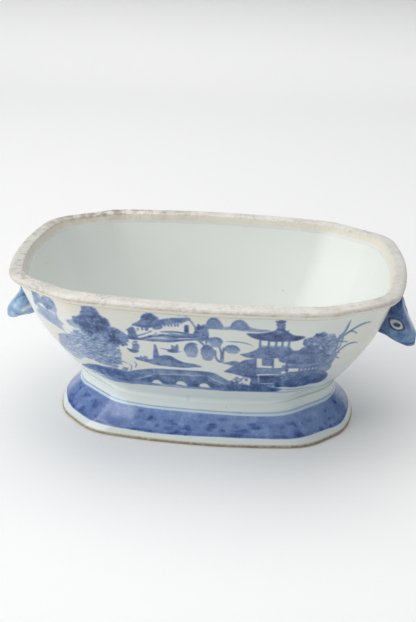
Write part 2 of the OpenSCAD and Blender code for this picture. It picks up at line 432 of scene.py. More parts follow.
def closeUp(piece, sharp=45.0):
    # fills open ends, turns the faces outwards, brings millimetres to metres
    mesh = piece.data
    bm = bmesh.new()
    bm.from_mesh(mesh)
    bmesh.ops.remove_doubles(bm, verts=bm.verts, dist=0.001)
    rims = [e for e in bm.edges if e.is_boundary]
    if rims:
        bmesh.ops.holes_fill(bm, edges=rims, sides=0)
    bmesh.ops.recalc_face_normals(bm, faces=bm.faces)
    bm.to_mesh(mesh)
    bm.free()
    mesh.vertices.foreach_set("co", (meshPoints(mesh) * mm).ravel())
    mesh.polygons.foreach_set("use_smooth", [True] * len(mesh.polygons))
    mesh.set_sharp_from_angle(angle=math.radians(sharp))
    mesh.update()


def settle(piece, node, finish):
    piece.data.materials.clear()
    piece.data.materials.append(finish)
    for name in ("rowNumber", "columnNumber"):
        if piece.data.attributes.get(name):
            piece.data.attributes.remove(piece.data.attributes[name])
    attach(piece, "root")
    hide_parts(node)
    print("made", piece.name, "with", len(piece.data.polygons), "faces")


# the painting: a landscape brushed in cobalt, kept as one density map for each side

class Canvas:
    # across = run along the plan from the middle of the side, up = height, in millimetres
    def __init__(self, acrossLow, acrossHigh, upLow, upHigh, cell=0.25, seed=1):
        self.low, self.cell = (acrossLow, upLow), cell
        self.shape = (int((upHigh - upLow) / cell), int((acrossHigh - acrossLow) / cell))
        self.ink = np.zeros(self.shape)
        self.random = np.random.default_rng(seed)
        x = np.arange(self.shape[1]) * cell
        self.fringe = (ease(x, 0, 2) * ease(x, x[-1], x[-1] - 2))[None]
        self.wander = [self.cloud(7.0), self.cloud(7.0), self.cloud(1.6)]

    def cloud(self, size):
        # smooth random field from -1 to 1, with blotches of that size
        rows, cols = (int(n * self.cell / size) + 4 for n in self.shape)
        coarse = self.random.uniform(-1, 1, (rows, cols))
        y = np.arange(self.shape[0]) * self.cell / size + 1
        x = np.arange(self.shape[1]) * self.cell / size + 1
        i, u = y.astype(int), (y % 1)[:, None]
        j, v = x.astype(int), (x % 1)[None]
        u, v = u * u * (3 - 2 * u), v * v * (3 - 2 * v)
        low = coarse[i][:, j] * (1 - v) + coarse[i][:, j + 1] * v
        high = coarse[i + 1][:, j] * (1 - v) + coarse[i + 1][:, j + 1] * v
        return low * (1 - u) + high * u

    def window(self, lowX, highX, lowY, highY):
        j0 = int(max(0, (lowX - self.low[0]) / self.cell - 1))
        j1 = int(min(self.shape[1], (highX - self.low[0]) / self.cell + 2))
        i0 = int(max(0, (lowY - self.low[1]) / self.cell - 1))
        i1 = int(min(self.shape[0], (highY - self.low[1]) / self.cell + 2))
        if j1 <= j0 or i1 <= i0:
            return None
        x = self.low[0] + (np.arange(j0, j1) + 0.5) * self.cell
        y = self.low[1] + (np.arange(i0, i1) + 0.5) * self.cell
        return (slice(i0, i1), slice(j0, j1)), x[None], y[:, None]

    def lay(self, where, cover, ink):
        # cover 0..1; positive ink darkens up to that level, zero ink lifts the colour off
        old = self.ink[where]
        if ink > 0:
            self.ink[where] = np.maximum(old, old + (ink - old) * cover)
        else:
            self.ink[where] = np.where(ink > old, old + (ink - old) * cover, old * (1 - cover))

    def dab(self, x, y, wide, tall, ink, lean=0.0, soft=0.35):
        reach = max(wide, tall) / 2 + 1
        found = self.window(x - reach, x + reach, y - reach, y + reach)
        if found:
            where, gx, gy = found
            c, s = math.cos(lean), math.sin(lean)
            u, v = ((gx - x) * c + (gy - y) * s) / (wide / 2), ((gy - y) * c - (gx - x) * s) / (tall / 2)
            self.lay(where, ease(np.hypot(u, v), 1 + soft, 1 - soft), ink)

    def stroke(self, points, wide, ink, taper=(0.4, 0.4), soft=0.35):
        path = smoothThrough(points, 12) if len(points) > 2 else np.linspace(points[0], points[1], 24)
        run = np.r_[0, np.cumsum(np.linalg.norm(np.diff(path, axis=0), axis=1))]
        steps = max(2, int(run[-1] / (wide * 0.3)) + 1)
        for t in np.linspace(0, 1, steps):
            x, y = (np.interp(t * run[-1], run, path[:, k]) for k in (0, 1))
            size = wide * min(1, mix(taper[0], 1, t * 4), mix(taper[1], 1, (1 - t) * 4))
            self.dab(x, y, size, size, ink, 0, soft)

    def wash(self, outline, ink, edge=0.5, ragged=0.5, pool=0.0, curved=True, fade=None):
        # a filled shape with a slightly ragged edge; pool darkens its rim, fade = (height of full, height
        # of none)
        pts = np.array(smoothThrough([*outline, outline[0]], 6) if curved else outline, float)
        found = self.window(
            pts[:, 0].min() - 2, pts[:, 0].max() + 2, pts[:, 1].min() - 2, pts[:, 1].max() + 2
        )
        if not found:
            return
        where, gx, gy = found
        gx = gx + self.wander[0][where] * ragged + self.wander[2][where] * ragged * 0.3
        gy = gy + self.wander[1][where] * ragged
        inside = np.zeros(gx.shape, bool)
        nearest = np.full(gx.shape, 9.0)
        for (ax, ay), (bx, by) in zip(pts, np.roll(pts, -1, axis=0)):
            crosses = (ay > gy) != (by > gy)
            slope = (bx - ax) / (by - ay) if by != ay else 0
            inside ^= crosses & (gx < ax + (gy - ay) * slope)
            length = (bx - ax) ** 2 + (by - ay) ** 2
            if length > 0:
                t = np.clip(((gx - ax) * (bx - ax) + (gy - ay) * (by - ay)) / length, 0, 1)
                nearest = np.minimum(nearest, np.hypot(gx - ax - t * (bx - ax), gy - ay - t * (by - ay)))
        signed = np.where(inside, nearest, -nearest)
        cover = ease(signed, -edge, edge)
        if fade:
            cover = cover * ease(gy, fade[1], fade[0])
        if ink <= 0:
            self.lay(where, cover, 0)
            return
        level = ink * (
            1 + 0.2 * self.wander[0][where] + 0.22 * self.wander[2][where]
        ) + pool * ease(np.abs(signed - 0.6), 1.2, 0)
        old = self.ink[where]
        self.ink[where] = np.maximum(old, old * (1 - cover) + np.maximum(level, old) * cover)

    def lift(self, outline, edge=0.3, ragged=0.25, curved=False):
        self.wash(outline, 0, edge, ragged, 0, curved)

    def clump(self, x, y, wide, tall, count, size, ink, spread=0.25, lean=0.0):
        # leaf dabs scattered over an oval
        for _ in range(count):
            angle, far = self.random.uniform(0, 2 * math.pi), math.sqrt(self.random.uniform(0, 1))
            dark = ink + self.random.uniform(-spread, spread)
            tilt = lean + self.random.uniform(-0.7, 0.7)
            px, py = x + math.cos(angle) * far * wide / 2, y + math.sin(angle) * far * tall / 2
            self.dab(
                px, py, size * self.random.uniform(0.7, 1.4), size * self.random.uniform(0.5, 0.9), dark,
                tilt
            )

    def scales(self, outline, step, wide, ink, lean=0.2):
        # rows of small curved lines inside an outline, as rock and water are drawn
        low, high = np.min(outline, axis=0), np.max(outline, axis=0)
        edge = np.array([*outline, outline[0]], float)
        for y in np.arange(low[1], high[1], step):
            for x in np.arange(low[0], high[0], step * 1.9):
                cx = x + self.random.uniform(-1, 1) * step * 0.6
                cy = y + self.random.uniform(-1, 1) * step * 0.35
                crossings = 0
                for (ax, ay), (bx, by) in zip(edge, edge[1:]):
                    if (ay > cy) != (by > cy) and cx < ax + (cy - ay) * (bx - ax) / (by - ay):
                        crossings += 1
                if crossings % 2:
                    w, rise = step * self.random.uniform(0.8, 1.2), step * self.random.uniform(0.25, 0.5)
                    turn = lean + self.random.uniform(-0.35, 0.35)
                    arc = [(-w, -rise * 0.6), (-w * 0.4, rise * 0.4), (w * 0.3, rise * 0.5), (w, -rise * 0.4)]
                    c, s = math.cos(turn), math.sin(turn)
                    self.stroke(
                        [(cx + u * c - v * s, cy + u * s + v * c) for u, v in arc], wide, ink, (0.5, 0.3)
                    )

    def soften(self, passes=1):
        # cobalt bleeds a little into the glaze
        k = self.ink
        for _ in range(passes):
            k = (np.roll(k, 1, 0) + np.roll(k, -1, 0) + 2 * k) / 4
            k = (np.roll(k, 1, 1) + np.roll(k, -1, 1) + 2 * k) / 4
        self.ink = k

    def read(self, across, up):
        x = np.clip((across - self.low[0]) / self.cell - 0.5, 0, self.shape[1] - 1.001)
        y = np.clip((up - self.low[1]) / self.cell - 0.5, 0, self.shape[0] - 1.001)
        i, j = x.astype(int), y.astype(int)
        u, v = x - i, y - j
        k = self.ink * self.fringe
        return (k[j, i] * (1 - u) + k[j, i + 1] * u) * (1 - v) + (
            k[j + 1, i] * (1 - u) + k[j + 1, i + 1] * u
        ) * v


ink = {"faint": 0.16, "pale": 0.28, "light": 0.38, "mid": 0.5, "full": 0.62, "deep": 0.76, "dark": 0.94}


def paintCornerMotif(c):
    # foliage over hatched rocks, at the far left of the side
    c.wash(
        [
            (-134, 108), (-130, 117), (-123, 117), (-119, 111), (-115, 113), (-111, 116), (-106, 113),
            (-102, 105), (-105, 101), (-112, 102), (-118, 105), (-126, 102)
        ],
        ink["pale"], 1.4, 2.0
    )
    c.clump(-125, 110, 12, 12, 46, 2.4, ink["light"])
    c.clump(-111, 108, 14, 10, 46, 2.4, ink["light"], lean=0.6)
    c.clump(-112, 105, 10, 6, 20, 2.2, ink["mid"], lean=0.4)
    for k in range(9):
        y = 104 - 1.7 * k
        c.stroke(
            [(-128 + k, y), (-118 + k * 0.8, y - 2.5), (-108 + k * 0.6, y - 5), (-100 + k * 0.4, y - 8.4)],
            0.9, ink["light" if k % 2 else "pale"], (0.4, 0.3)
        )
    c.wash(
        [(-128, 98), (-112, 97), (-100, 94), (-97, 91), (-104, 89.5), (-118, 91), (-128, 93)],
        ink["faint"], 1.0, 1.2
    )
    c.stroke([(-106, 103), (-104, 98), (-105, 93)], 1.0, ink["light"])
    c.stroke([(-122, 103), (-121.4, 99)], 1.0, ink["light"])


def paintGreatTree(c):
    # the hill first, paler to the left, then its curling rock lines
    c.wash(
        [
            (-114, 63), (-111, 72), (-106, 78), (-98, 80.5), (-92, 86), (-87, 91), (-76, 92), (-62, 90),
            (-55, 82), (-55, 72), (-57, 62), (-60, 57.5), (-70, 60), (-80, 60.5), (-90, 57), (-97, 51),
            (-105, 52)
        ],
        ink["pale"], 1.2, 1.4
    )
    c.wash(
        [(-90, 66), (-86, 80), (-80, 90), (-66, 90), (-57, 84), (-56, 68), (-60, 60), (-72, 61), (-84, 62)],
        ink["light"], 1.6, 1.2
    )
    hill = [
        (-104, 62), (-98, 78), (-88, 90), (-78, 92), (-60, 88), (-56, 76), (-57, 60), (-72, 60), (-86, 60),
        (-96, 56)
    ]
    c.scales(hill, 2.3, 0.8, ink["full"])
    c.scales(hill, 2.1, 0.7, ink["mid"], -0.2)
    c.scales(hill, 2.7, 0.75, 0, 0.3)
    # foliage
    c.wash(
        [(-96, 98), (-90, 101), (-86, 105), (-82, 104), (-80, 97), (-84, 93), (-92, 94)],
        ink["pale"], 1.0, 1.0
    )
    c.wash(
        [(-81, 104), (-80, 111), (-76, 116), (-71, 115), (-67, 110), (-68, 104), (-74, 101)],
        ink["light"], 1.0, 1.0
    )
    c.wash(
        [
            (-87, 104), (-81, 107), (-76, 108), (-68, 108), (-62, 107), (-60, 101), (-63, 95), (-70, 91),
            (-80, 92), (-84, 98)
        ],
        ink["mid"], 1.0, 1.0
    )
    c.wash(
        [(-66, 97), (-58, 99), (-51, 96), (-48, 90), (-52, 84), (-60, 82), (-66, 87)],
        ink["mid"], 1.0, 1.0
    )
    c.clump(-74, 112, 11, 8, 26, 2.6, ink["mid"])
    c.clump(-70, 109, 8, 5, 14, 2.2, ink["deep"])
    c.clump(-83, 101, 12, 8, 26, 2.6, ink["mid"])
    c.clump(-75, 101, 18, 13, 90, 2.4, ink["full"])
    c.clump(-66, 102, 10, 12, 46, 2.4, ink["deep"])
    c.clump(-74, 95, 16, 8, 46, 2.2, ink["deep"])
    c.clump(-58, 93, 14, 11, 60, 2.4, ink["full"])
    c.clump(-58, 88, 9, 7, 30, 2.2, ink["dark"], 0.1)
    c.clump(-65, 103, 4, 4, 8, 2.0, ink["dark"], 0.1)
    c.clump(-52, 86, 8, 7, 20, 2.2, ink["mid"])
    for _ in range(34):
        x, y = c.random.uniform(-84, -52), c.random.uniform(86, 110)
        if c.read(np.array([x]), np.array([y]))[0] > 0.4:
            c.dab(x, y, 1.3, 0.7, 0, c.random.uniform(0, 3), 0.6)


def paintIsland(c):
    # the upper island: a tree, a long roof, low white walls and a gabled house
    c.wash([(-37, 109), (-35, 114), (-31, 116.5), (-27, 114), (-24, 110), (-28, 108)], ink["light"], 0.6, 0.6)
    c.clump(-31, 112, 10, 6, 26, 2.3, ink["full"])
    c.clump(-29, 111, 8, 3.4, 10, 2.0, ink["deep"])
    c.wash(
        [
            (-44, 104.2), (-38, 108.4), (-34, 110.6), (-25, 110.2), (-18, 112.6), (-10, 114), (-4, 114.6),
            (-3, 112.4), (-9, 110.2), (-17, 108.6), (-24, 106.6), (-30, 103.8), (-41, 103.2)
        ],
        ink["mid"], 0.4, 0.4, 0.1
    )
    for k in range(9):
        c.stroke([(-40 + 4.3 * k, 104.4 + 0.95 * k), (-38 + 4.3 * k, 107.6 + 0.8 * k)], 0.55, ink["full"])
    c.stroke([(-44, 103.8), (-33, 103.2), (-24, 106.2), (-14, 109)], 0.7, ink["deep"])
    c.stroke([(-12, 116.4), (-8, 117), (-5, 116)], 1.2, ink["full"])
    # windows and posts on the white walls
    for x, y in ((-40, 100.4), (-36.8, 101.2), (-34.2, 101), (-33, 101.8)):
        c.dab(x, y, 1.4, 3.0, ink["mid"])
    c.wash(
        [(-28.6, 101.6), (-27.4, 106.6), (-24, 107), (-22.6, 104.6), (-24.4, 102.4)],
        ink["light"], 0.4, 0.3, 0.2
    )
    c.stroke([(-29, 102), (-27.4, 106.4), (-24, 106.8), (-22.4, 104)], 0.7, ink["full"])
    for x in (-20.6, -18.2, -16, -13.6, -11.6):
        c.dab(x, 106.6 + (x + 20) * 0.12, 1.0, 3.4, ink["full"])
    # the gabled house
    c.lift([(-10, 101), (-9.6, 108.6), (-4.6, 112.6), (-0.6, 107), (-1.4, 101)], 0.3, 0.2)
    c.stroke([(-10, 108.4), (-4.4, 113.2), (-0.4, 107.6), (1.2, 103.4)], 0.8, ink["full"])
    c.wash([(-7.2, 101.4), (-7, 108), (-4.4, 108.2), (-4.4, 101.4)], ink["full"], 0.3, 0.2, 0.1, False)
    # rocks to the right and a bank to the left
    c.wash(
        [(-1, 101), (0.6, 106), (2.6, 110), (4.2, 107.4), (6, 109.6), (8.6, 104), (8.2, 96), (0, 95)],
        ink["mid"], 0.5, 0.6, 0.1
    )
    c.clump(3.6, 103, 7, 11, 22, 2.2, ink["full"])
    c.wash(
        [(-48.6, 90.4), (-47, 97), (-45, 102), (-42.6, 101), (-41.6, 96), (-40.6, 91.4), (-44, 90)],
        ink["mid"], 0.5, 0.6, 0.1
    )
    c.clump(-45, 96, 6, 9, 16, 2.2, ink["full"])
    # striped ground
    c.wash(
        [
            (-47, 90.2), (-40, 92), (-30, 96.4), (-20, 99.2), (-10, 99.4), (-4, 100.6), (8, 98.8),
            (8.4, 95.6), (-4, 94.6), (-14, 92.6), (-26, 90.8), (-38, 90)
        ],
        ink["light"], 0.4, 0.5, 0.1
    )
    for line in (
        [(-47, 90.8), (-38, 91.6), (-30, 95.4), (-27, 99)],
        [(-42, 93.6), (-34, 97.2), (-30, 100.4)],
        [(-30, 93), (-22, 97.4), (-14, 96.2), (-4, 97.6)],
        [(-24, 100), (-14, 101), (-4, 100)],
        [(-30, 91.2), (-18, 91.6), (-8, 94), (8, 96.4)],
        [(-10, 96.2), (0, 97.4), (8, 97.2)]
    ):
        c.stroke(line, 1.0, ink["deep"], (0.5, 0.4))
    for line in (
        [(-41, 93.2), (-35, 96), (-31, 99)],
        [(-30, 95.6), (-24, 98.6), (-17, 98)],
        [(-24, 102.6), (-16, 103.4), (-9, 102.4)],
        [(-36, 92), (-26, 94.2), (-18, 94)],
        [(-14, 94.4), (-6, 95.8), (0, 95.8)]
    ):
        c.stroke(line, 1.1, 0, (0.4, 0.3))


def paintBoats(c):
    c.wash(
        [(-49.6, 80.4), (-47, 77.4), (-43.4, 77), (-41, 79.4), (-44, 79.6), (-47, 80)],
        ink["full"], 0.3, 0.3
    )
    c.stroke([(-49.8, 80.8), (-46.6, 77.8), (-43, 77.4)], 1.0, ink["deep"])
    c.wash([(-46, 80), (-45.4, 84), (-41.4, 86.6), (-40.6, 82.4), (-43, 79.6)], ink["light"], 0.4, 0.3)
    c.stroke([(-45.6, 84.4), (-42, 85.8), (-41, 83)], 0.9, ink["deep"])
    c.dab(-43, 88, 3.6, 1.6, ink["mid"], 0.2)
    c.dab(-45.4, 86.4, 1.2, 1.6, ink["light"])
    c.stroke([(-25.4, 84), (-21, 83.6), (-19, 81.6), (-14, 81.6), (-10, 83)], 0.8, ink["mid"])
    c.wash([(-20, 83.6), (-18.6, 81.4), (-14.6, 81.2), (-12.8, 83.8)], ink["full"], 0.3, 0.3)
    c.wash(
        [(-17.2, 83.6), (-17.4, 88.6), (-14.6, 87.2), (-13.4, 90), (-12.4, 88), (-13, 83.6)],
        ink["mid"], 0.4, 0.3
    )


def paintLowIsland(c):
    c.wash(
        [(-31.2, 73), (-30.4, 82), (-29.6, 87), (-28.6, 87.6), (-27.6, 82), (-27, 74)],
        ink["mid"], 0.4, 0.2, 0.1
    )
    c.wash(
        [
            (-45, 71.6), (-41, 72.4), (-36, 71.4), (-31, 73), (-28, 75.4), (-22, 77.2), (-17, 76.8),
            (-13, 73.6), (-8, 71.6), (0, 70), (3, 68.4), (-8, 66.4), (-22, 66), (-34, 67.4), (-42, 69.6)
        ],
        ink["mid"], 0.5, 0.5, 0.08
    )
    c.stroke([(-44.6, 71.8), (-41, 70), (-36, 69.6), (-30, 72.4)], 0.9, ink["full"])
    for x, y in ((-40.4, 73.4), (-37.4, 73.8), (-36, 73.2), (-38.8, 72.6)):
        c.stroke([(x, y - 2.4), (x + 0.3, y + 1.4)], 0.8, ink["mid"])
    # white curls of rock by the shore
    for line in (
        [(-58, 56), (-55, 54.4), (-52, 57), (-53, 60)],
        [(-60, 63), (-55, 66), (-50, 63.6)],
        [(-50, 56), (-48.4, 61), (-49.4, 65)],
        [(-46, 60), (-44.4, 65), (-46.6, 68)],
        [(-56, 60), (-52, 58.6), (-50.6, 60.4)]
    ):
        c.stroke(line, 0.8, ink["light"])
    c.dab(-54, 57.4, 4.6, 3.0, ink["light"], 0.4)


def paintDistantHills(c):
    for x, wide, tall in ((13, 11.5, 9.5), (30, 12.5, 8.5)):
        c.wash(
            [
                (x - wide / 2, 106.6), (x - wide * 0.42, 106 + tall * 0.62),
                (x - wide * 0.12, 106.4 + tall), (x + wide * 0.2, 106.2 + tall),
                (x + wide * 0.46, 106 + tall * 0.55), (x + wide / 2, 106.6)
            ],
            ink["light"], 0.5, 0.4, 0.1
        )
    c.wash(
        [
            (2, 107), (8, 110), (18, 108.6), (26, 109.4), (36, 109.6), (44, 107.4), (52, 106.6),
            (44, 105.2), (20, 105.8), (8, 105.8)
        ],
        ink["pale"], 0.6, 0.5
    )
    c.stroke([(8.4, 111), (10.6, 114), (14, 114.4), (16.6, 112)], 0.9, ink["full"])
    c.stroke([(8, 108.4), (11, 107), (16, 107)], 0.8, ink["mid"])
    c.stroke([(27, 113.6), (31, 113.8), (34, 111)], 0.9, ink["mid"])
    c.stroke([(20.6, 95), (27, 95.2), (33, 94.6), (37.6, 93), (40.6, 91)], 0.7, ink["mid"], (0.4, 0.3))


def paintWillow(c):
    for x, y, wide, tall in (
        (-3.6, 84.6, 9.6, 13.5), (8, 83.2, 9.8, 14), (25.2, 87.8, 10.5, 7.5), (13.8, 93.8, 9.5, 8.4)
    ):
        top, low = y + tall / 2, y - tall / 2
        shape = [
            (x - wide / 2, y - tall * 0.1), (x - wide * 0.42, y + tall * 0.24), (x - wide * 0.15, top),
            (x + wide * 0.2, top), (x + wide * 0.46, y + tall * 0.2), (x + wide * 0.5, y - tall * 0.1),
            (x + wide * 0.3, low), (x - wide * 0.25, low)
        ]
        c.wash(shape, ink["pale"], 0.6, 0.5)
        c.wash(shape, ink["mid"], 0.6, 0.5, 0.08, True, (y + tall * 0.42, y - tall * 0.22))
    for line in (
        [(-8.4, 84), (-6.4, 88.6), (-1.6, 91.4), (1.6, 90)],
        [(4.4, 85), (6, 89.4), (9, 91)],
        [(8.4, 94), (11, 97.2), (15, 97.6), (18.2, 94.6)],
        [(21, 89.4), (24, 91), (28, 90.4), (30.6, 87)]
    ):
        c.stroke(line, 1.0, ink["full"])
    # trunk and boughs
    for line in (
        [(2, 94.4), (5.4, 91), (6.6, 88)], [(7.4, 92), (8, 96.4), (9.8, 97.6)],
        [(13.4, 82), (14.4, 77.4), (16.8, 74.6), (19.4, 76.4)],
        [(16.4, 90), (17.8, 84), (17.6, 78), (16.8, 75)], [(19.6, 88), (18.8, 82), (19, 77)],
        [(13.6, 86), (13.6, 80)], [(19, 89), (21, 86.6)], [(2.6, 95), (4.6, 93.4)]
    ):
        c.stroke(line, 1.1, ink["full"], (0.6, 0.5))
    c.wash(
        [(15, 76), (20, 74.4), (27, 75.8), (31, 74), (31, 70.6), (26, 71.4), (20, 73.4)],
        ink["mid"], 0.5, 0.5
    )


def paintPagoda(c):
    # finial in three tiers
    for y, wide, tall in ((114.6, 7.0, 1.9), (111.6, 6.0, 2.0), (108.6, 5.0, 2.4)):
        c.wash(
            [
                (58 - wide / 2, y + 0.8), (58, y - 0.1), (58 + wide / 2, y + 0.9),
                (58 + wide * 0.3, y - tall * 0.6), (58 - wide * 0.3, y - tall * 0.6)
            ],
            ink["deep"], 0.35, 0.2, 0.1
        )
    c.dab(59, 114.8, 2.4, 2.8, ink["full"])
    c.wash([(56, 105), (56.4, 115), (60, 115), (60.4, 105)], ink["full"], 0.4, 0.3)
    c.stroke([(53, 105.6), (56, 104.4), (61, 104.6), (64, 107)], 0.9, ink["deep"])
    # upper roof
    c.wash(
        [
            (34.6, 103.6), (41, 103.6), (48, 104.2), (53, 105.8), (56, 107.6), (60, 107.6), (63, 105.6),
            (67.4, 102.6), (75, 101), (71, 98), (65, 97), (50, 97), (43, 98.2), (38.4, 100.4)
        ],
        ink["deep"], 0.4, 0.3, 0.08
    )
    for k in range(15):
        x = 41.6 + 1.9 * k
        c.stroke(
            [(x, 97.6 + abs(k - 8) * 0.14), (58 + (x - 58) * 0.72, 104.4 - abs(x - 58) * 0.1)],
            0.6, ink["dark"]
        )
    c.stroke([(55, 105.4), (61, 105.4)], 0.6, 0)
    # columns and bays
    for x in (44.6, 50.6, 55.6, 60, 64.4):
        c.stroke([(x, 97), (x, 91)], 1.1, ink["full"], (1, 1))
    c.stroke([(44, 91.9), (64.6, 91.9)], 0.6, ink["light"], (1, 1))
    # second roof, with the third roof lapping over it
    c.wash(
        [
            (30.4, 83.4), (36, 85), (41, 87.2), (45, 90.2), (54, 90.8), (66, 90.6), (69, 88), (66, 84),
            (62, 80.4), (52, 80), (42, 79.6), (35.6, 80.4)
        ],
        ink["mid"], 0.4, 0.3, 0.12
    )
    for k in range(16):
        x = 39 + 1.8 * k
        c.stroke([(x, 80.4), (x + 2.2 * (56 - x) / 24, 89.4 - max(0, 44 - x) * 0.5)], 0.45, ink["full"])
    c.wash(
        [
            (57.4, 78.6), (61, 81.6), (65, 85.6), (69, 89.4), (76, 90.8), (83, 89.6), (88, 85), (92, 80.4),
            (97.6, 76.4), (92, 74.4), (80, 73.4), (66, 74.2), (60, 76)
        ],
        ink["mid"], 0.5, 0.4, 0.1
    )
    for y, a, b in (
        (76, 62, 92), (78.4, 62, 92), (80.8, 64, 90), (83.2, 66, 88), (85.6, 67, 86), (88, 70, 83)
    ):
        c.stroke([(a, y - 0.4), ((a + b) / 2, y + 0.4), (b, y - 0.4)], 0.45, ink["full"])
    c.stroke([(62, 82.4), (66, 85.2), (74, 85.2), (82, 84.4)], 0.9, ink["deep"])
    c.stroke([(84, 89.6), (88, 85), (91, 80.8), (97, 77.4)], 1.1, ink["deep"])
    c.stroke([(58.4, 78.4), (62, 76), (70, 74.8), (80, 73.6), (90, 73)], 0.9, ink["full"])
    # white moon gate beside the upper storey
    c.dab(69.6, 92.4, 8.6, 9.6, 0, 0, 0.12)
    c.stroke([(65.6, 91), (66.4, 88.2), (70, 86.8), (73.6, 88.6)], 0.8, ink["full"])
    # lower storey
    c.wash([(46.4, 72), (46.4, 79.6), (54, 79.6), (54, 72)], ink["mid"], 0.4, 0.3, 0.1, False)
    c.stroke([(54.2, 79.6), (54.2, 68)], 0.9, ink["full"], (1, 1))
    c.stroke([(41.8, 79.6), (42, 66)], 1.0, ink["full"], (1, 1))
    c.lift([(42.8, 71), (42.8, 79), (46.2, 79), (46.2, 71)])
    c.lift([(43, 70.4), (43, 72.2), (52.8, 72.2), (52.8, 70.4)])
    c.lift([(55.4, 69.4), (55.4, 78.6), (57.8, 78.6), (57.8, 69.4)])
    # the left lower roof
    c.wash(
        [
            (19.4, 64.6), (24, 69), (29.6, 73.4), (34, 77), (38.6, 78.4), (41.6, 77.6), (42.2, 68),
            (42.6, 58), (38, 58.6), (33, 60.4), (27, 62.6)
        ],
        ink["mid"], 0.5, 0.3, 0.12
    )
    for k in range(9):
        c.stroke([(25 + 2.1 * k, 62.6 - 0.3 * k), (27.4 + 1.7 * k, 71 + 0.75 * k)], 0.4, ink["full"])
    c.stroke([(19.6, 64.8), (23, 66), (27, 63.4)], 0.9, ink["full"])
    # terrace, panels and posts
    c.wash([(42, 62.6), (42, 70), (60, 69.6), (60, 62.4)], ink["light"], 0.4, 0.3, 0, False)
    for y in (64.4, 66.8, 69):
        c.stroke([(42, y), (60, y)], 0.7, ink["full"], (1, 1))
    c.wash([(38, 51), (38.4, 61), (62, 62), (64, 50), (50, 49.6)], ink["full"], 0.5, 0.4, 0.08, False)
    c.wash([(45, 53.8), (45, 60.6), (55.6, 60.8), (55.8, 53.4)], ink["deep"], 0.4, 0.3, 0.05, False)
    c.stroke([(42.6, 62.6), (52, 63), (58.6, 62.4)], 0.8, 0, (1, 1))
    c.stroke([(44, 61.6), (43.8, 54)], 0.8, 0, (1, 1))
    c.stroke([(45, 52.6), (55, 52.4)], 0.9, 0, (1, 1))
    c.wash([(55.8, 48.4), (56, 60), (60, 60.4), (60.4, 48.4)], ink["dark"], 0.4, 0.3, 0, False)
    c.stroke([(60.6, 60), (60.4, 50)], 0.7, ink["light"], (1, 1))


def paintRightBank(c):
    # dotted tree
    c.wash(
        [
            (75, 92), (75, 98), (80, 100.4), (82, 103.4), (88, 104.6), (91, 102), (96, 101.6), (97.6, 98),
            (98, 90), (97, 82), (92, 81.4), (88, 86), (84, 90.4)
        ],
        ink["pale"], 0.9, 0.9
    )
    c.clump(82, 96, 15, 12, 90, 1.7, ink["full"])
    c.clump(86, 101.6, 8, 5, 26, 1.8, ink["deep"])
    c.clump(92, 93, 12, 18, 80, 1.6, ink["mid"])
    for _ in range(70):
        c.dab(c.random.uniform(77, 97), c.random.uniform(86, 101), 1.1, 0.9, 0, 0, 0.5)
    for line in ([(88, 100), (90, 92), (94, 84)], [(84, 96), (88, 90), (92, 82)]):
        c.stroke(line, 0.7, ink["deep"])
    # rocky ground behind and below the house
    c.wash(
        [(90, 79), (96, 80), (99, 76), (98, 68), (96, 60), (88, 58), (84, 64), (86, 74)],
        ink["light"], 0.8, 0.8, 0.06
    )
    c.clump(93, 72, 9, 14, 30, 2.4, ink["mid"])
    c.wash(
        [
            (60, 62), (66, 65), (78, 66), (88, 63), (94, 58), (97, 53), (96, 48), (92, 44.6), (84, 45.4),
            (74, 46), (64, 48.4), (60, 50)
        ],
        ink["mid"], 0.7, 0.7, 0.1
    )
    c.wash(
        [(62, 56), (72, 57.6), (84, 56), (95, 54), (95.6, 48), (91, 45.4), (80, 46.2), (68, 48), (62, 51)],
        ink["full"], 1.2, 0.8, 0.1
    )
    c.wash([(84, 54), (92, 56), (96, 52), (94, 46), (88, 45.6)], ink["deep"], 0.9, 0.6)
    c.scales([(61, 51), (61, 61), (80, 63), (92, 56), (92, 47), (70, 49)], 2.8, 0.7, ink["deep"], -0.1)
    # fence of white strokes
    c.wash([(60, 66), (60, 72.6), (70, 73.6), (86, 72), (88, 65)], ink["light"], 0.5, 0.4, 0, False)
    c.stroke([(64, 74), (64, 64)], 1.1, ink["deep"], (1, 0.6))
    c.stroke([(62.4, 70.6), (70, 70.2), (78, 69.6), (86, 68.6)], 0.6, ink["full"])
    for k in range(8):
        x = 65.6 + 2.7 * k
        c.stroke([(x, 66), (x + 0.4, 69.2 - 0.15 * k)], 1.0, 0, (1, 0.7))
        c.stroke([(x + 1.3, 65), (x + 1.6, 69.6)], 0.7, ink["full"])
    c.lift([(65, 66), (65.6, 69.4), (71.6, 69.4), (72, 66.4)], 0.7, 0.5, True)


def paintReeds(c):
    for line, wide in (
        ([(97, 91), (101, 97), (105, 101.6), (107, 106), (109, 112)], 1.6),
        ([(98, 92), (103, 96.6), (110, 101), (117, 104.4), (123, 105.6), (128, 104.8)], 1.5),
        ([(98, 78), (103, 84), (108, 87), (113, 87.6), (117, 86)], 1.2),
        ([(96, 80), (99, 88), (99, 94)], 1.4), ([(100, 94), (101, 97), (100.4, 99)], 1.0),
        ([(108, 100), (112, 99.6), (115.4, 96)], 0.9), ([(99, 76), (101, 74), (103, 72)], 1.0),
        ([(102, 90), (105, 91), (108, 89)], 0.8), ([(97, 83), (101, 86), (102, 90)], 1.0)
    ):
        c.stroke(line, wide, ink["mid"], (0.9, 0.3))
    c.clump(101, 94, 6, 8, 14, 1.8, ink["light"])
    c.clump(99, 80, 6, 10, 14, 1.9, ink["light"])


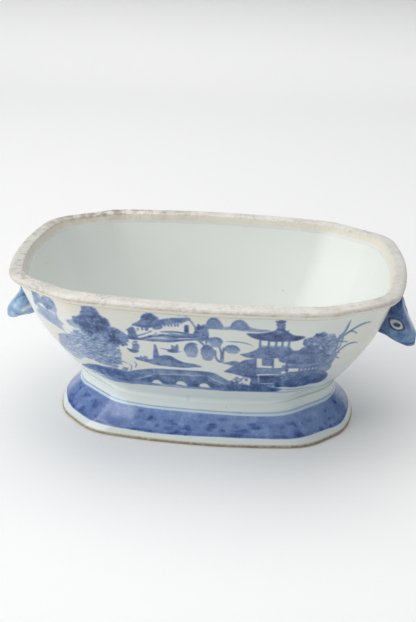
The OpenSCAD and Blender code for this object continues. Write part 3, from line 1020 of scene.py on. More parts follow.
def paintBridgeAndShore(c):
    # shore wash, tapering to the left
    c.wash(
        [
            (-101, 40), (-95, 45), (-88, 49.6), (-80, 53.6), (-72, 56.6), (-60, 56.4), (-50, 53.6),
            (-44, 48), (-46, 44), (-60, 43), (-76, 42.4), (-90, 40)
        ],
        ink["mid"], 0.9, 0.7, 0.06
    )
    c.wash(
        [(-92, 45), (-82, 51), (-72, 55), (-62, 54.4), (-56, 51), (-62, 47.6), (-76, 45)],
        ink["full"], 1.4, 0.8
    )
    c.wash(
        [
            (-100, 37.6), (-84, 40.4), (-64, 43.4), (-44, 45), (-30, 45.4), (-30, 43.6), (-46, 41.4),
            (-64, 39.6), (-84, 36.4), (-98, 34.6)
        ],
        ink["pale"], 0.7, 0.5, 0.06
    )
    c.stroke([(-98, 39.4), (-80, 42), (-62, 44.4), (-48, 45.6)], 0.7, 0, (0.6, 0.4))
    # the bridge: humped deck, then the darker side
    c.wash(
        [
            (-62, 49), (-52, 54.4), (-44, 58.4), (-34, 61.4), (-22, 62.4), (-8, 63.4), (4, 63.4),
            (11, 62.4), (17, 58.6), (25, 52.4), (36, 50.6), (48, 50), (60, 46), (56, 43.4), (38, 43.2),
            (20, 43), (0, 45), (-26, 45.6), (-44, 44.6), (-60, 43.6)
        ],
        ink["mid"], 0.5, 0.4, 0.08
    )
    c.wash(
        [
            (-46, 47.6), (-38, 51.8), (-30, 56), (-16, 57.6), (-2, 58.6), (8, 58), (15, 53.6), (23, 49),
            (20, 46.4), (0, 46.6), (-26, 46.8), (-40, 46.4)
        ],
        ink["full"], 0.7, 0.3, 0.06
    )
    for line, wide in (
        (
            [(-49, 53.6), (-40, 57.4), (-32, 60.2), (-18, 61.2), (-4, 62), (8, 61.4), (14, 58), (20, 53.6)],
            0.7
        ),
        (
            [
                (-50, 55.6), (-40, 59.6), (-30, 62), (-14, 62.8), (0, 63.4), (11, 62.2), (18, 57.6),
                (26, 51.6)
            ],
            0.6
        )
    ):
        c.stroke(line, wide, ink["full"], (0.4, 0.6))
    for line in (
        [(-48, 47), (-39, 51.6), (-31.4, 56)],
        [(-31, 56.2), (-18, 57.6), (-4, 58.6), (6, 58.8)],
        [(7.4, 58.4), (12, 55), (20, 49.6)]
    ):
        c.stroke(line, 0.9, 0, (0.6, 0.6))
    for x, y in ((-30.4, 46.2), (-12.4, 47.6), (4.6, 47.2)):
        c.wash(
            [
                (x - 4.2, y - 1), (x - 3.2, y + 2), (x - 0.6, y + 3.6), (x + 1.8, y + 3.2),
                (x + 3.8, y + 0.4), (x + 4.2, y - 1.6)
            ],
            0, 0.5, 0.3
        )
        c.stroke(
            [(x - 4.4, y - 0.6), (x - 3, y + 2.6), (x, y + 4), (x + 3, y + 2.4), (x + 4.4, y - 0.8)],
            0.5, ink["deep"]
        )
    # shore to the right with scattered stones and a skiff
    c.wash([(18, 44), (22, 50.6), (30, 52), (38, 49), (46, 47.4), (40, 43.4)], ink["full"], 0.8, 0.5)
    c.wash(
        [(38, 46), (42, 49.6), (48, 49.8), (53, 46.6), (58, 43.6), (46, 43.6)],
        ink["full"], 0.5, 0.4, 0.15
    )
    c.clump(31, 57, 12, 5, 16, 1.8, ink["mid"])
    c.clump(27, 53.6, 8, 4, 14, 2.0, ink["full"])
    c.clump(36, 53, 8, 4, 8, 1.8, ink["light"])
    c.lift([(33, 52.6), (35, 54.4), (38.4, 54), (38.6, 52)], 0.6, 0.4, True)
    # the line that closes the picture
    c.stroke(
        [
            (-102, 34.8), (-84, 37.6), (-62, 40.6), (-40, 42.6), (-16, 43.6), (8, 43.6), (34, 43.2),
            (54, 42.4), (70, 40.4), (86, 37.4), (100, 34.6)
        ],
        0.9, ink["light"], (0.5, 0.5)
    )
    c.stroke([(-60, 43.2), (-36, 44.6), (-8, 45.4), (14, 45.2)], 0.6, ink["light"])
    c.stroke([(56, 46.4), (68, 44), (80, 41.4), (90, 38.6)], 0.8, ink["light"])


def paintLandscape(c):
    for part in (
        paintCornerMotif, paintDistantHills, paintGreatTree, paintIsland, paintBoats, paintLowIsland,
        paintBridgeAndShore, paintWillow, paintReeds, paintRightBank, paintPagoda
    ):
        part(c)
    c.soften(6)


def paintEnd(c):
    # the ends carry a spray of rocks and foliage to each side of the head
    for side in (-1, 1):
        def at(points):
            return [(side * x, y) for x, y in points]
        c.wash(
            at([(18, 82), (20, 92), (24, 99), (31, 101), (37, 96), (38, 88), (33, 84), (25, 80)]),
            ink["pale"], 1.0, 1.2
        )
        c.clump(side * 27, 96, 14, 12, 50, 2.4, ink["full"])
        c.clump(side * 33, 92, 9, 10, 30, 2.3, ink["mid"])
        c.clump(side * 25, 92, 8, 7, 18, 2.2, ink["deep"])
        c.scales(at([(17, 74), (20, 86), (34, 84), (37, 76), (27, 70)]), 2.8, 0.7, ink["mid"])
        c.stroke(at([(21, 70), (24, 82), (27, 92)]), 1.2, ink["full"])
        c.wash(at([(12, 62), (20, 66), (30, 66), (38, 62), (30, 58), (18, 58)]), ink["light"], 0.7, 0.8, 0.08)
        c.stroke(at([(15, 58), (26, 56), (37, 59)]), 0.8, ink["mid"])
    c.soften(1)


canvases = {"front": Canvas(-128, 128, 34, 118, seed=4), "end": Canvas(-60, 60, 34, 118, seed=9)}
paintLandscape(canvases["front"])
paintEnd(canvases["end"])
print("painting done, mean density", round(float(canvases["front"].ink.mean()), 3))


def footPaint(columns, z):
    # a mottled band between two edges that wander, with a thin line above it
    turn = columns / planSize * 2 * math.pi
    high = 19.8 + 0.35 * np.sin(3 * turn + 1) + 0.25 * np.sin(7 * turn)
    low = 6.4 + 0.3 * np.sin(4 * turn) + 0.25 * np.sin(9 * turn + 2)
    band = ease(z, low - 0.5, low + 0.5) * ease(z, high + 0.5, high - 0.5)
    rng = np.random.default_rng(12)
    level = 0.34 + 0.05 * np.sin(2 * turn + 0.8)
    for _ in range(420):
        x, y = rng.uniform(0, planSize), 5 + 13 * rng.uniform(0, 1) ** 1.5
        wide, tall, dark = rng.uniform(2, 8), rng.uniform(0.7, 2.4), rng.uniform(-0.1, 0.34)
        away = np.hypot((np.mod(columns - x + planSize / 2, planSize) - planSize / 2) / wide, (z - y) / tall)
        level += dark * ease(away, 1, 0.1)
    level += 0.2 * ease(z, low + 2.6, low + 0.4) - 0.04 * ease(z, 12, 19)
    line = ease(
        np.abs(z - high - 1.9), 0.5, 0.1
    ) * 0.2 + ease(z, high, high + 0.6) * ease(z, high + 2.2, high + 1.4) * 0.05
    return np.maximum(band * np.clip(level, 0, 0.85), line)


# finishes

def srgb(r, g, b):
    return tuple(
        (c / 255 / 12.92) if c / 255 < 0.04045 else ((c / 255 + 0.055) / 1.055) ** 2.4 for c in (r, g, b)
    )


class Finish(Tree):
    # a material and the few patterns that all the finishes share
    def __init__(self, name):
        self.material = bpy.data.materials.new(name)
        self.material.use_nodes = True
        super().__init__(self.material.node_tree)
        self.nodes.clear()
        place = self.make("ShaderNodeTexCoord", out=None)
        self.place = Field(self, place.outputs["Object"])
        split = self.make("ShaderNodeSeparateXYZ", {}, {0: self.place}, None)
        self.x, self.y, self.z = (Field(self, split.outputs[k]) * 1000 for k in range(3))  # millimetres

    def noise(self, size, detail=2.0, rough=0.5, stretch=(1, 1, 1), seed=0.0):
        moved = self.make(
            "ShaderNodeMapping", {}, {"Vector": self.place, "Scale": stretch, "Location": (seed, 0, 0)}
        )
        values = {"Vector": moved, "Scale": 1000 / size, "Detail": detail, "Roughness": rough}
        return self.make("ShaderNodeTexNoise", {}, values)

    def spots(self, size, seed=0.0):
        # distance to scattered points, in cells
        moved = self.make("ShaderNodeMapping", {}, {"Vector": self.place, "Location": (seed, seed, 0)})
        return self.make("ShaderNodeTexVoronoi", {}, {"Vector": moved, "Scale": 1000 / size}, "Distance")

    def number(self, name):
        return self.make("ShaderNodeAttribute", {"attribute_name": name}, {}, "Fac")

    def ramp(self, amount, *stops):
        return self.make("ShaderNodeValToRGB", {"stops": stops}, {"Fac": amount}, "Color")

    def tint(self, amount, under, over, how="MIX"):
        node = self.make("ShaderNodeMix", {"data_type": "RGBA", "blend_type": how}, {0: amount}, None)
        for key, value in ((6, under), (7, over)):
            if isinstance(value, Field):
                self.links.new(value.socket, node.inputs[key])
            else:
                node.inputs[key].default_value = (*value, 1)
        return Field(self, node.outputs[2])

    def bump(self, height, distance, under=None):
        values = {"Height": height, "Distance": distance, "Strength": 1.0}
        if under is not None:
            values["Normal"] = under
        return self.make("ShaderNodeBump", {}, values)

    def close(self, colour, rough, normal, **fixed):
        values = {"Base Color": colour, "Roughness": rough, "Normal": normal, **fixed}
        shader = self.make("ShaderNodeBsdfPrincipled", {}, values)
        self.make("ShaderNodeOutputMaterial", {}, {"Surface": shader}, None)
        return self.material


glazeLook = {
    "porcelain": srgb(218, 225, 221),
    "porcelainWarm": srgb(221, 219, 206),
    "pooled": srgb(222, 235, 235),
    "wash": [
        (0.0, srgb(184, 198, 213)), (0.3, srgb(126, 150, 184)), (0.62, srgb(80, 105, 150)),
        (1.0, srgb(42, 58, 104))
    ],
    "band": [
        (0.0, srgb(166, 190, 222)), (0.3, srgb(112, 140, 192)), (0.6, srgb(70, 96, 156)),
        (1.0, srgb(34, 52, 112))
    ],
}


def glazeSkin(f):
    # the thick clear glaze: slow waves, fine orange peel, pinholes
    waves = f.noise(26, 1.0)
    peel = f.noise(1.6, 2.0)
    pins = f.spots(17, 3.1).between(0.035, 0.02)
    pinsNear = f.spots(9.5, 8.7).between(0.04, 0.015)
    height = waves * 0.35 + peel * 0.035 - pins * 0.12 - pinsNear * 0.08
    return height, (pins + pinsNear * 0.6).clamped()


def porcelainColour(f):
    cloud = f.noise(60, 2.0, seed=4.0)
    body = f.tint(cloud.between(0.35, 0.7), glazeLook["porcelain"], glazeLook["porcelainWarm"])
    # the glaze is thick and bluish low down
    body = f.tint(f.z.between(58, 30) * 0.6, body, glazeLook["pooled"])
    iron = f.spots(11, 21.0).between(0.045, 0.02)
    return f.tint(iron * 0.5, body, srgb(120, 104, 84))


def cobaltOver(f, body, density, stops):
    # density to colour, pooled and granular as cobalt is under glaze
    grain = f.noise(1.3, 3.0, 0.65, seed=9.0)
    pool = f.noise(7, 2.0, seed=13.0)
    strength = (density * (grain * 1.3 + pool * 1.3 - 0.34)).clamped()
    blue = f.ramp(strength, *stops)
    violet = f.tint(f.noise(34, 1.0, seed=17.0).between(0.42, 0.68) * 0.12, blue, srgb(120, 120, 166))
    return f.tint(density.between(0.0, 0.22), body, violet)


def paintedGlaze():
    f = Finish("painted glaze")
    height, pins = glazeSkin(f)
    body = porcelainColour(f)
    inner = f.number("inner")
    # painted light: the inside gets a paler, less green glaze tone; the paler part is a painted brightening
    # of the inner walls where little lamp light reaches
    inside = f.tint(inner * 0.9, body, srgb(228, 232, 229))
    colour = cobaltOver(f, inside, f.number("cobalt"), glazeLook["wash"])
    colour = f.tint(pins * 0.55, colour, srgb(96, 84, 70))
    rough = 0.06 + f.noise(9, 2.0) * 0.12 + inner * 0.28
    return f.close(colour, rough, f.bump(height, 0.001), **{"Specular IOR Level": 0.5, "IOR": 1.5})


def whiteGlaze():
    f = Finish("white glaze")
    height, pins = glazeSkin(f)
    cloud = f.noise(40, 2.0, seed=2.0)
    body = f.tint(cloud, srgb(220, 225, 223), srgb(224, 227, 225))
    under = f.z.between(31.5, 30.5)
    rings = f.noise(6, 2.0, stretch=(1, 1, 6), seed=5.0)
    clay = f.tint(rings, srgb(214, 202, 180), srgb(196, 180, 152))
    colour = f.tint(pins * 0.5, f.tint(under * 0.25, body, clay), srgb(96, 84, 70))
    return f.close(colour, 0.12 + f.noise(8, 2.0) * 0.1 + under * 0.1, f.bump(height, 0.001), IOR=1.5)


def bandedGlaze():
    f = Finish("banded glaze")
    height, pins = glazeSkin(f)
    body = porcelainColour(f)
    tinge = f.z.between(19.0, 20.5) * f.z.between(23.5, 21.5)
    body = f.tint(tinge * 0.55, body, srgb(192, 220, 232))
    foot = f.z.between(3.2, 1.4)
    dust = f.noise(2.4, 3.0, seed=41.0)
    bare = f.tint(dust, srgb(176, 158, 130), srgb(128, 108, 82))
    edge = (foot * (0.55 + dust * 0.9)).clamped()
    colour = f.tint(edge, cobaltOver(f, body, f.number("cobalt"), glazeLook["band"]), bare)
    inner = f.number("inner")
    colour = f.tint(inner * 0.35, colour, srgb(205, 198, 180))
    colour = f.tint(pins * 0.5, colour, srgb(90, 80, 70))
    rough = 0.04 + f.noise(8, 2.0) * 0.1 + edge * 0.55
    return f.close(colour, rough, f.bump(height + dust * edge * 0.3, 0.001), IOR=1.5)


def blueGlaze():
    f = Finish("blue glaze")
    height, pins = glazeSkin(f)
    density = f.number("cobalt")
    grain = f.noise(1.4, 3.0, 0.65, seed=9.0)
    pool = f.noise(5, 2.0, seed=13.0)
    colour = f.ramp(
        (density * (grain * 0.9 + pool * 0.9 + 0.1)).clamped(), (0.0, srgb(190, 208, 222)),
        (0.25, srgb(128, 164, 200)),
        (0.5, srgb(82, 118, 164)), (0.75, srgb(54, 82, 128)), (1.0, srgb(34, 48, 88)),
    )
    colour = f.tint(f.number("bareWhite"), colour, srgb(204, 212, 212))
    colour = f.tint(f.number("outline"), colour, srgb(30, 42, 82))
    return f.close(colour, 0.1 + f.noise(6, 2.0) * 0.08, f.bump(height, 0.001), IOR=1.5)


def biscuit():
    f = Finish("biscuit rim")
    grain = f.noise(1.1, 4.0, 0.7)
    cloud = f.noise(16, 3.0, seed=3.0)
    base = f.tint(cloud.between(0.3, 0.7), srgb(234, 231, 225), srgb(219, 216, 208))
    # grey soil rubbed into the bare clay, in patches
    patch = f.noise(21, 3.0, 0.6, seed=6.0).between(0.44, 0.66)
    soil = (f.noise(2.6, 4.0, 0.7, seed=11.0).between(0.42, 0.7) * (0.5 + patch)).clamped()
    colour = f.tint(soil * 0.5, base, srgb(160, 157, 152))
    # greyer towards both ends of the rim
    colour = f.tint(f.x.absolute().between(95, 140) * 0.4, colour, srgb(192, 191, 184))
    # brown stain along the back left of the top
    stain = f.noise(9, 4.0, 0.65, seed=15.0).between(0.4, 0.62) * f.y.between(20, 80) * f.x.between(10, -60)
    colour = f.tint((stain * 0.8).clamped(), colour, srgb(148, 128, 106))
    worn = f.noise(7, 4.0, 0.65, seed=25.0).between(0.5, 0.62) * f.x.between(-95, -135)
    colour = f.tint(worn * 0.5, colour, srgb(158, 148, 132))
    # unglazed yellowish strip down the inside of the lip
    inside = f.number("innerStrip")
    colour = f.tint(inside * 0.7, colour, f.tint(grain, srgb(234, 229, 214), srgb(226, 218, 199)))
    # broken orange line where the glaze stops under the outer edge
    line = f.number("glazeStop")
    broken = f.noise(9, 3.0, 0.7, stretch=(1, 1, 3), seed=19.0).between(0.45, 0.62)
    colour = f.tint((line * (0.35 + broken * 0.75)).clamped() * 0.62, colour, srgb(172, 142, 110))
    spots = f.spots(5.5, 27.0).between(0.06, 0.02)
    colour = f.tint((spots * patch * 0.6).clamped(), colour, srgb(132, 112, 90))
    glazed = f.number("glazed")
    colour = f.tint(
        glazed * 0.85, colour, f.tint(f.number("innerStrip"), srgb(226, 222, 206), srgb(222, 226, 224))
    )
    # painted shade: a grey line along the underside of the outer lip, where it overhangs the wall
    paintedShadeUnderLip = f.z.between(116.5, 117.0) * f.z.between(118.2, 117.5) * f.number("outerLip")
    colour = f.tint(paintedShadeUnderLip * 0.4, colour, srgb(168, 162, 146))
    rough = 0.62 - glazed * 0.42 + grain * 0.12
    pits = f.spots(2.6, 33.0).between(0.16, 0.03)
    height = grain * 0.22 + f.noise(5, 2.0) * 0.3 - pits * 0.14
    return f.close(colour, rough, f.bump(height, 0.001), **{"Specular IOR Level": 0.4})


paintedGlazeFinish, whiteGlazeFinish, bandedGlazeFinish, blueGlazeFinish, biscuitFinish = (
    paintedGlaze(), whiteGlaze(), bandedGlaze(), blueGlaze(), biscuit()
)
print("finishes ready")


# walls

wallBuild = {
    "top": (vessel["overhang"], vessel["wallTop"]),
    "foot": (float(outerInset(vessel["neckBase"])), vessel["neckBase"]),
    "paintedRows": 0.5,  # spacing of the points that carry the painting
    "insideRows": 4.0,
    "uneven": 0.22,
    "ripple": 55.0,
}


def wallSection():
    # up the outside from the foot, then down the inside; (inset from the straight line, depth, height), fall
    span = vessel["wallTop"] - vessel["neckBase"]
    slant = math.hypot(span, 43)
    outerZ = np.linspace(vessel["neckBase"], vessel["wallTop"], int(slant / wallBuild["paintedRows"]))
    innerZ = np.linspace(vessel["wallTop"], vessel["neckBase"], int(slant / wallBuild["insideRows"]))
    z = np.r_[outerZ, innerZ]
    depth = np.r_[np.zeros(len(outerZ)), np.full(len(innerZ), vessel["wall"])]
    fall = (vessel["wallTop"] - z) / span
    straight = mix(wallBuild["top"][0], wallBuild["foot"][0], fall)
    return np.c_[outerInset(z) - straight, depth, z], fall, len(outerZ)


def runFrom(middle, columns, cols, z):
    # distance along the plan from the painting's middle, measured at each point's own height
    levels = np.linspace(28, 118, 19)
    fine = np.linspace(middle - 186, middle + 186, 900)
    table = []
    for level in levels:
        plan = planAt(wholePlan(float(outerInset(level)), 0, level), fine)
        run = np.r_[0, np.cumsum(np.linalg.norm(np.diff(plan, axis=0), axis=1))]
        table.append(np.interp(columns, fine, run - np.interp(middle, fine, run)))
    table = np.array(table)
    k = np.clip((z - levels[0]) / (levels[1] - levels[0]), 0, len(levels) - 1.001)
    low = k.astype(int)
    return mix(table[low, cols], table[low + 1, cols], k - low)


def makeWall(node, start, end, canvas, middle, spacing):
    columns = columnsBetween(start, end, spacing)
    section, fall, outerCount = wallSection()
    piece = loft(
        node.replace("_wall", "_side"), columns, section, fall, wallBuild["top"], wallBuild["foot"], False,
        paintedGlazeFinish, wallBuild["uneven"], wallBuild["ripple"],
        flares=flareAt(section[:, 2]) + section[:, 1] * vessel["endThinning"] * (drawnIn(section[:, 2]) - 1),
    )
    rows = readNumbers(piece.data, "rowNumber")
    cols = readNumbers(piece.data, "columnNumber").astype(int)
    inner = rows >= outerCount
    z = section[rows.astype(int), 2]
    s = runFrom(middle, columns, cols, z)
    cobalt = np.zeros(len(s))
    cobalt[~inner] = canvas.read(s[~inner], z[~inner])
    writeNumbers(piece.data, "cobalt", cobalt)
    writeNumbers(piece.data, "inner", inner.astype(float))
    closeUp(piece)
    settle(piece, node, paintedGlazeFinish)


# the middle of the front is plan index 555, of the back 185, of the ends 0 and 370
walls = {
    "front_wall": (arrises[5], arrises[6], "front", 555),
    "back_wall": (arrises[1], arrises[2], "front", 185),
    "front_left_corner_wall": (arrises[4], arrises[5], "front", 555),
    "front_right_corner_wall": (arrises[6], arrises[7], "front", 555),
    "back_right_corner_wall": (arrises[0], arrises[1], "front", 185),
    "back_left_corner_wall": (arrises[2], arrises[3], "front", 185),
    "left_end_wall": (arrises[3], arrises[4], "end", 370),
    "right_end_wall": (arrises[7] - 740, arrises[0], "end", 0),
}
for node, (start, end, canvasName, middle) in walls.items():
    makeWall(node, start, end, canvases[canvasName], middle, spacing=0.5 if canvasName == "front" else 0.7)
print("walls joined up")


# rim

rimBuild = {
    "spacing": 1.0,
    "uneven": 0.3,
    "ripple": 14.0,
    "outline": [
        (5, 0, 116.4), (3, 0, 117), (1.2, 0, 119), (0.15, 0, 121.6), (0.6, 0, 123.2), (2.2, 0, 123.9),
        (4.2, 0, 124),
        (0, 6.5, 123.9), (0, 10.2, 123.8), (0, 11.5, 123.2), (0, 12, 122), (5, 8.5, 116.4),
    ],
}


def makeRim():
    outline = np.array(rimBuild["outline"], float)
    outer = smoothThrough(outline[:7], 4)
    inner = smoothThrough(outline[7:-1], 4)
    strip = np.linspace(outline[-2], outline[-1], 7)[1:]
    under = np.linspace(outline[-1], outline[0], 7)[1:-1]
    section = np.concatenate([outer, inner, strip, under])
    inset, depth, z = section.T.copy()
    top, lip = (0.0, vessel["height"]), (vessel["overhang"], vessel["wallTop"])
    fall = (vessel["height"] - z) / (vessel["height"] - vessel["wallTop"])
    section[:, 0] -= vessel["overhang"] * fall
    columns = columnsBetween(0, planSize, rimBuild["spacing"])[:-1]
    piece = loft(
        "bare_rim", columns, section, fall, top, lip, True, biscuitFinish, rimBuild["uneven"],
        rimBuild["ripple"], 3,
    )
    rows = readNumbers(piece.data, "rowNumber").astype(int)
    inset, depth, z = inset[rows], depth[rows], z[rows]
    writeNumbers(piece.data, "innerStrip", (depth > 8) * ease(123.4 - z, 0, 1.2))
    writeNumbers(piece.data, "outerLip", (depth < 4).astype(float))
    writeNumbers(piece.data, "glazeStop", (depth < 4) * ease(z, 119.9, 120.7) * ease(z, 122.0, 121.2))
    writeNumbers(
        piece.data, "glazed",
        np.maximum((depth < 4) * ease(z, 120.4, 119.4), (depth > 8) * ease(z, 119.6, 117.8))
    )
    closeUp(piece, 60)
    settle(piece, "rim_band", biscuitFinish)


makeRim()


# foot

footBuild = {
    "spacing": 0.8,
    "rowStep": 0.5,
    "uneven": 0.2,
    "ripple": 30.0,
    "inside": [
        (48, 12, 29), (48, 11, 25), (46, 10, 20), (41, 9.5, 15), (35.5, 9.5, 9), (34, 8.5, 4),
        (34, 7.4, 0.9), (34, 6.2, 0)
    ],
}


def makeFoot():
    neckBase = vessel["neckBase"]
    z = np.arange(0.8, neckBase + 0.01, footBuild["rowStep"])
    z[-1] = neckBase
    outer = np.c_[outerInset(z), np.zeros(len(z)), z]
    inner = smoothThrough(footBuild["inside"], 4)
    sole = smoothThrough([(34, 6.2, 0), (34, 3, 0), (34.6, 0.9, 0), (34, 0, 0.8)], 4)[1:-1]
    section = np.concatenate([outer, inner, sole])
    fall = (neckBase - section[:, 2]) / neckBase
    top, foot = (float(outerInset(neckBase)), neckBase), (34.0, 0.0)
    section[:, 0] -= mix(top[0], foot[0], fall)
    columns = columnsBetween(0, planSize, footBuild["spacing"])[:-1]
    piece = loft(
        "spreading_foot", columns, section, fall, top, foot, True, bandedGlazeFinish,
        footBuild["uneven"], footBuild["ripple"], 1, flares=-neckDrawAt(section[:, 2]),
    )
    rows = readNumbers(piece.data, "rowNumber").astype(int)
    cols = readNumbers(piece.data, "columnNumber").astype(int)
    depth, height = section[rows, 1], section[rows, 2]
    outside = rows < len(z)
    writeNumbers(piece.data, "cobalt", np.where(outside, footPaint(columns[cols], height), 0))
    writeNumbers(piece.data, "inner", (~outside).astype(float))
    closeUp(piece, 60)
    settle(piece, "foot_ring", bandedGlazeFinish)


makeFoot()


# floor

floorBuild = {"spacing": 2.0, "cove": 9.0, "crown": 0.35, "lap": 0.4}


def makeFloor():
    # rings from the cove round the edge to the middle, then the underside out again
    top, under, depth = vessel["floorTop"], vessel["floorUnder"], vessel["wall"]
    columns = columnsBetween(0, planSize, floorBuild["spacing"])[:-1]
    steps = np.linspace(0, math.pi / 2, 10)
    coveRise = floorBuild["cove"] * 0.8
    rings = []
    for t in steps:
        z = top + coveRise * (1 - math.sin(t))
        run = floorBuild["cove"] * (1 - math.cos(t))
        rings.append((planAt(wholePlan(outerInset(z) - floorBuild["lap"], depth, z), columns), run, z))
    points, faces = [], []
    for plan, run, z in rings:
        inward = planAt(
            wholePlan(outerInset(z), depth + 4, z), columns
        ) - planAt(wholePlan(outerInset(z), depth, z), columns)
        points.append(np.c_[plan + inward / 4 * run, np.full(len(plan), z)])
    edge = points[-1]
    for k in np.linspace(1, 0.06, 22)[1:]:
        points.append(edge * [k, k, 1] + [0, 0, floorBuild["crown"] * (1 - k**2)])
    count = len(columns)
    bottomEdge = planAt(wholePlan(float(outerInset(under)) - 0.3, depth + 3, under), columns)
    lower = [np.c_[bottomEdge * k, np.full(count, under)] for k in np.linspace(0.06, 1, 14)]
    wallLine = planAt(wholePlan(outerInset(top - 1) - floorBuild["lap"], depth, top - 1), columns)
    lower.append(
        np.c_[planAt(wholePlan(float(outerInset(under)), depth, under), columns), np.full(count, under)]
    )
    lower.append(np.c_[wallLine, np.full(count, top - 1)])
    topCount = len(points)
    rows = points + lower
    stack = np.concatenate(rows)
    n = len(rows)
    for r in range(n):
        if r == topCount - 1:
            continue
        r2 = (r + 1) % n
        for i in range(count):
            j = (i + 1) % count
            faces.append((r * count + i, r * count + j, r2 * count + j, r2 * count + i))
    stack = np.vstack([stack, [0, 0, top + floorBuild["crown"] + 0.01], [0, 0, under]])
    for r, pole in ((topCount - 1, len(stack) - 2), (topCount, len(stack) - 1)):
        for i in range(count):
            faces.append((r * count + i, r * count + (i + 1) % count, pole))
    mesh = bpy.data.meshes.new("floor")
    mesh.from_pydata(stack.tolist(), [], faces)
    piece = bpy.data.objects.new("bowl_bottom", mesh)
    bpy.context.scene.collection.objects.link(piece)
    closeUp(piece, 50)
    settle(piece, "bowl_floor", whiteGlazeFinish)


makeFloor()


# boar's heads

headBuild = {
    "reach": vessel["halfLength"] + vessel["endDraw"],
    "around": 170,
    "steps": 10,
    "cheek": (headHigh[1] - headLow[1]) / 2,
    # lower x and z, upper x and z, counted from the end of the flare, and the half width as a share of the
    # cheek
    "slices": [
        (-16, 69.8, -5.2, 100, 0.95), (-9.5, 66.4, -1.2, 91, 1.0), (-3, 63.2, 3.0, 82.4, 0.86),
        (1.4, 61.0, 6.4, 75.5, 0.62),
        (4.4, 60.9, 8.0, 71.8, 0.52), (6.6, 61.9, 7.5, 70.6, 0.48),
    ],
    "snoutRings": 7,
}
eyeAt = {"x": -8.4, "z": 83.0, "wide": 5.9, "tall": 3.7, "lean": -0.55}


def roundedAcross(count):
    # a rounded box outline, evenly divided
    c, s = np.cos(np.linspace(0, 2 * math.pi, 4001)), np.sin(np.linspace(0, 2 * math.pi, 4001))
    across, up = np.sign(c) * np.abs(c) ** 0.7, np.sign(s) * np.abs(s) ** 0.8
    run = np.r_[0, np.cumsum(np.hypot(np.diff(across * 15), np.diff(up * 18)))]
    even = np.linspace(0, run[-1], count, endpoint=False)
    return np.interp(even, run, across), np.interp(even, run, up)


def headRings(chin, dish):
    # where it is luted on, then the slices, then rings closing the snout's flat end
    across, up = roundedAcross(headBuild["around"])
    cheek, reach = headBuild["cheek"], headBuild["reach"]
    rootZ = mix(72.5, 106, 0.5 + 0.5 * up)
    rootY = cheek * 0.84 * across
    rootX = -vessel["endDraw"] * drawnIn(rootZ) - wallInset(rootZ) - 9 * (rootY / 55) ** 2 - 0.5
    rows = [np.stack([rootX + reach, rootY, rootZ], 1)]
    t = 0.5 + 0.5 * up
    for lowX, lowZ, highX, highZ, wide in headBuild["slices"]:
        raised = lowZ + chin * ease(lowX, -16, -3)
        highX = highX - dish * max(0, 1 - ((highZ - 90) / 13) ** 2)
        rows.append(np.stack([reach + mix(lowX, highX, t), cheek * wide * across, mix(raised, highZ, t)], 1))
    smoothRows = smoothThrough(
        np.array(rows).reshape(len(rows), -1), headBuild["steps"]
    ).reshape(-1, len(across), 3)
    middle = smoothRows[-1].mean(0)
    closing = [
        mix(
            smoothRows[-1], middle + [0.35, 0, 0], k
        ) for k in np.linspace(0, 1, headBuild["snoutRings"] + 1)[1:-1]
    ]
    return np.concatenate([smoothRows, closing]), middle


def nearLine(x, z, points, wide):
    # 1 on the line, 0 beyond its width
    path = smoothThrough(points, 10)
    away = np.min(np.hypot(x[:, None] - path[None, :, 0], z[:, None] - path[None, :, 1]), axis=1)
    return ease(away, wide, 0)


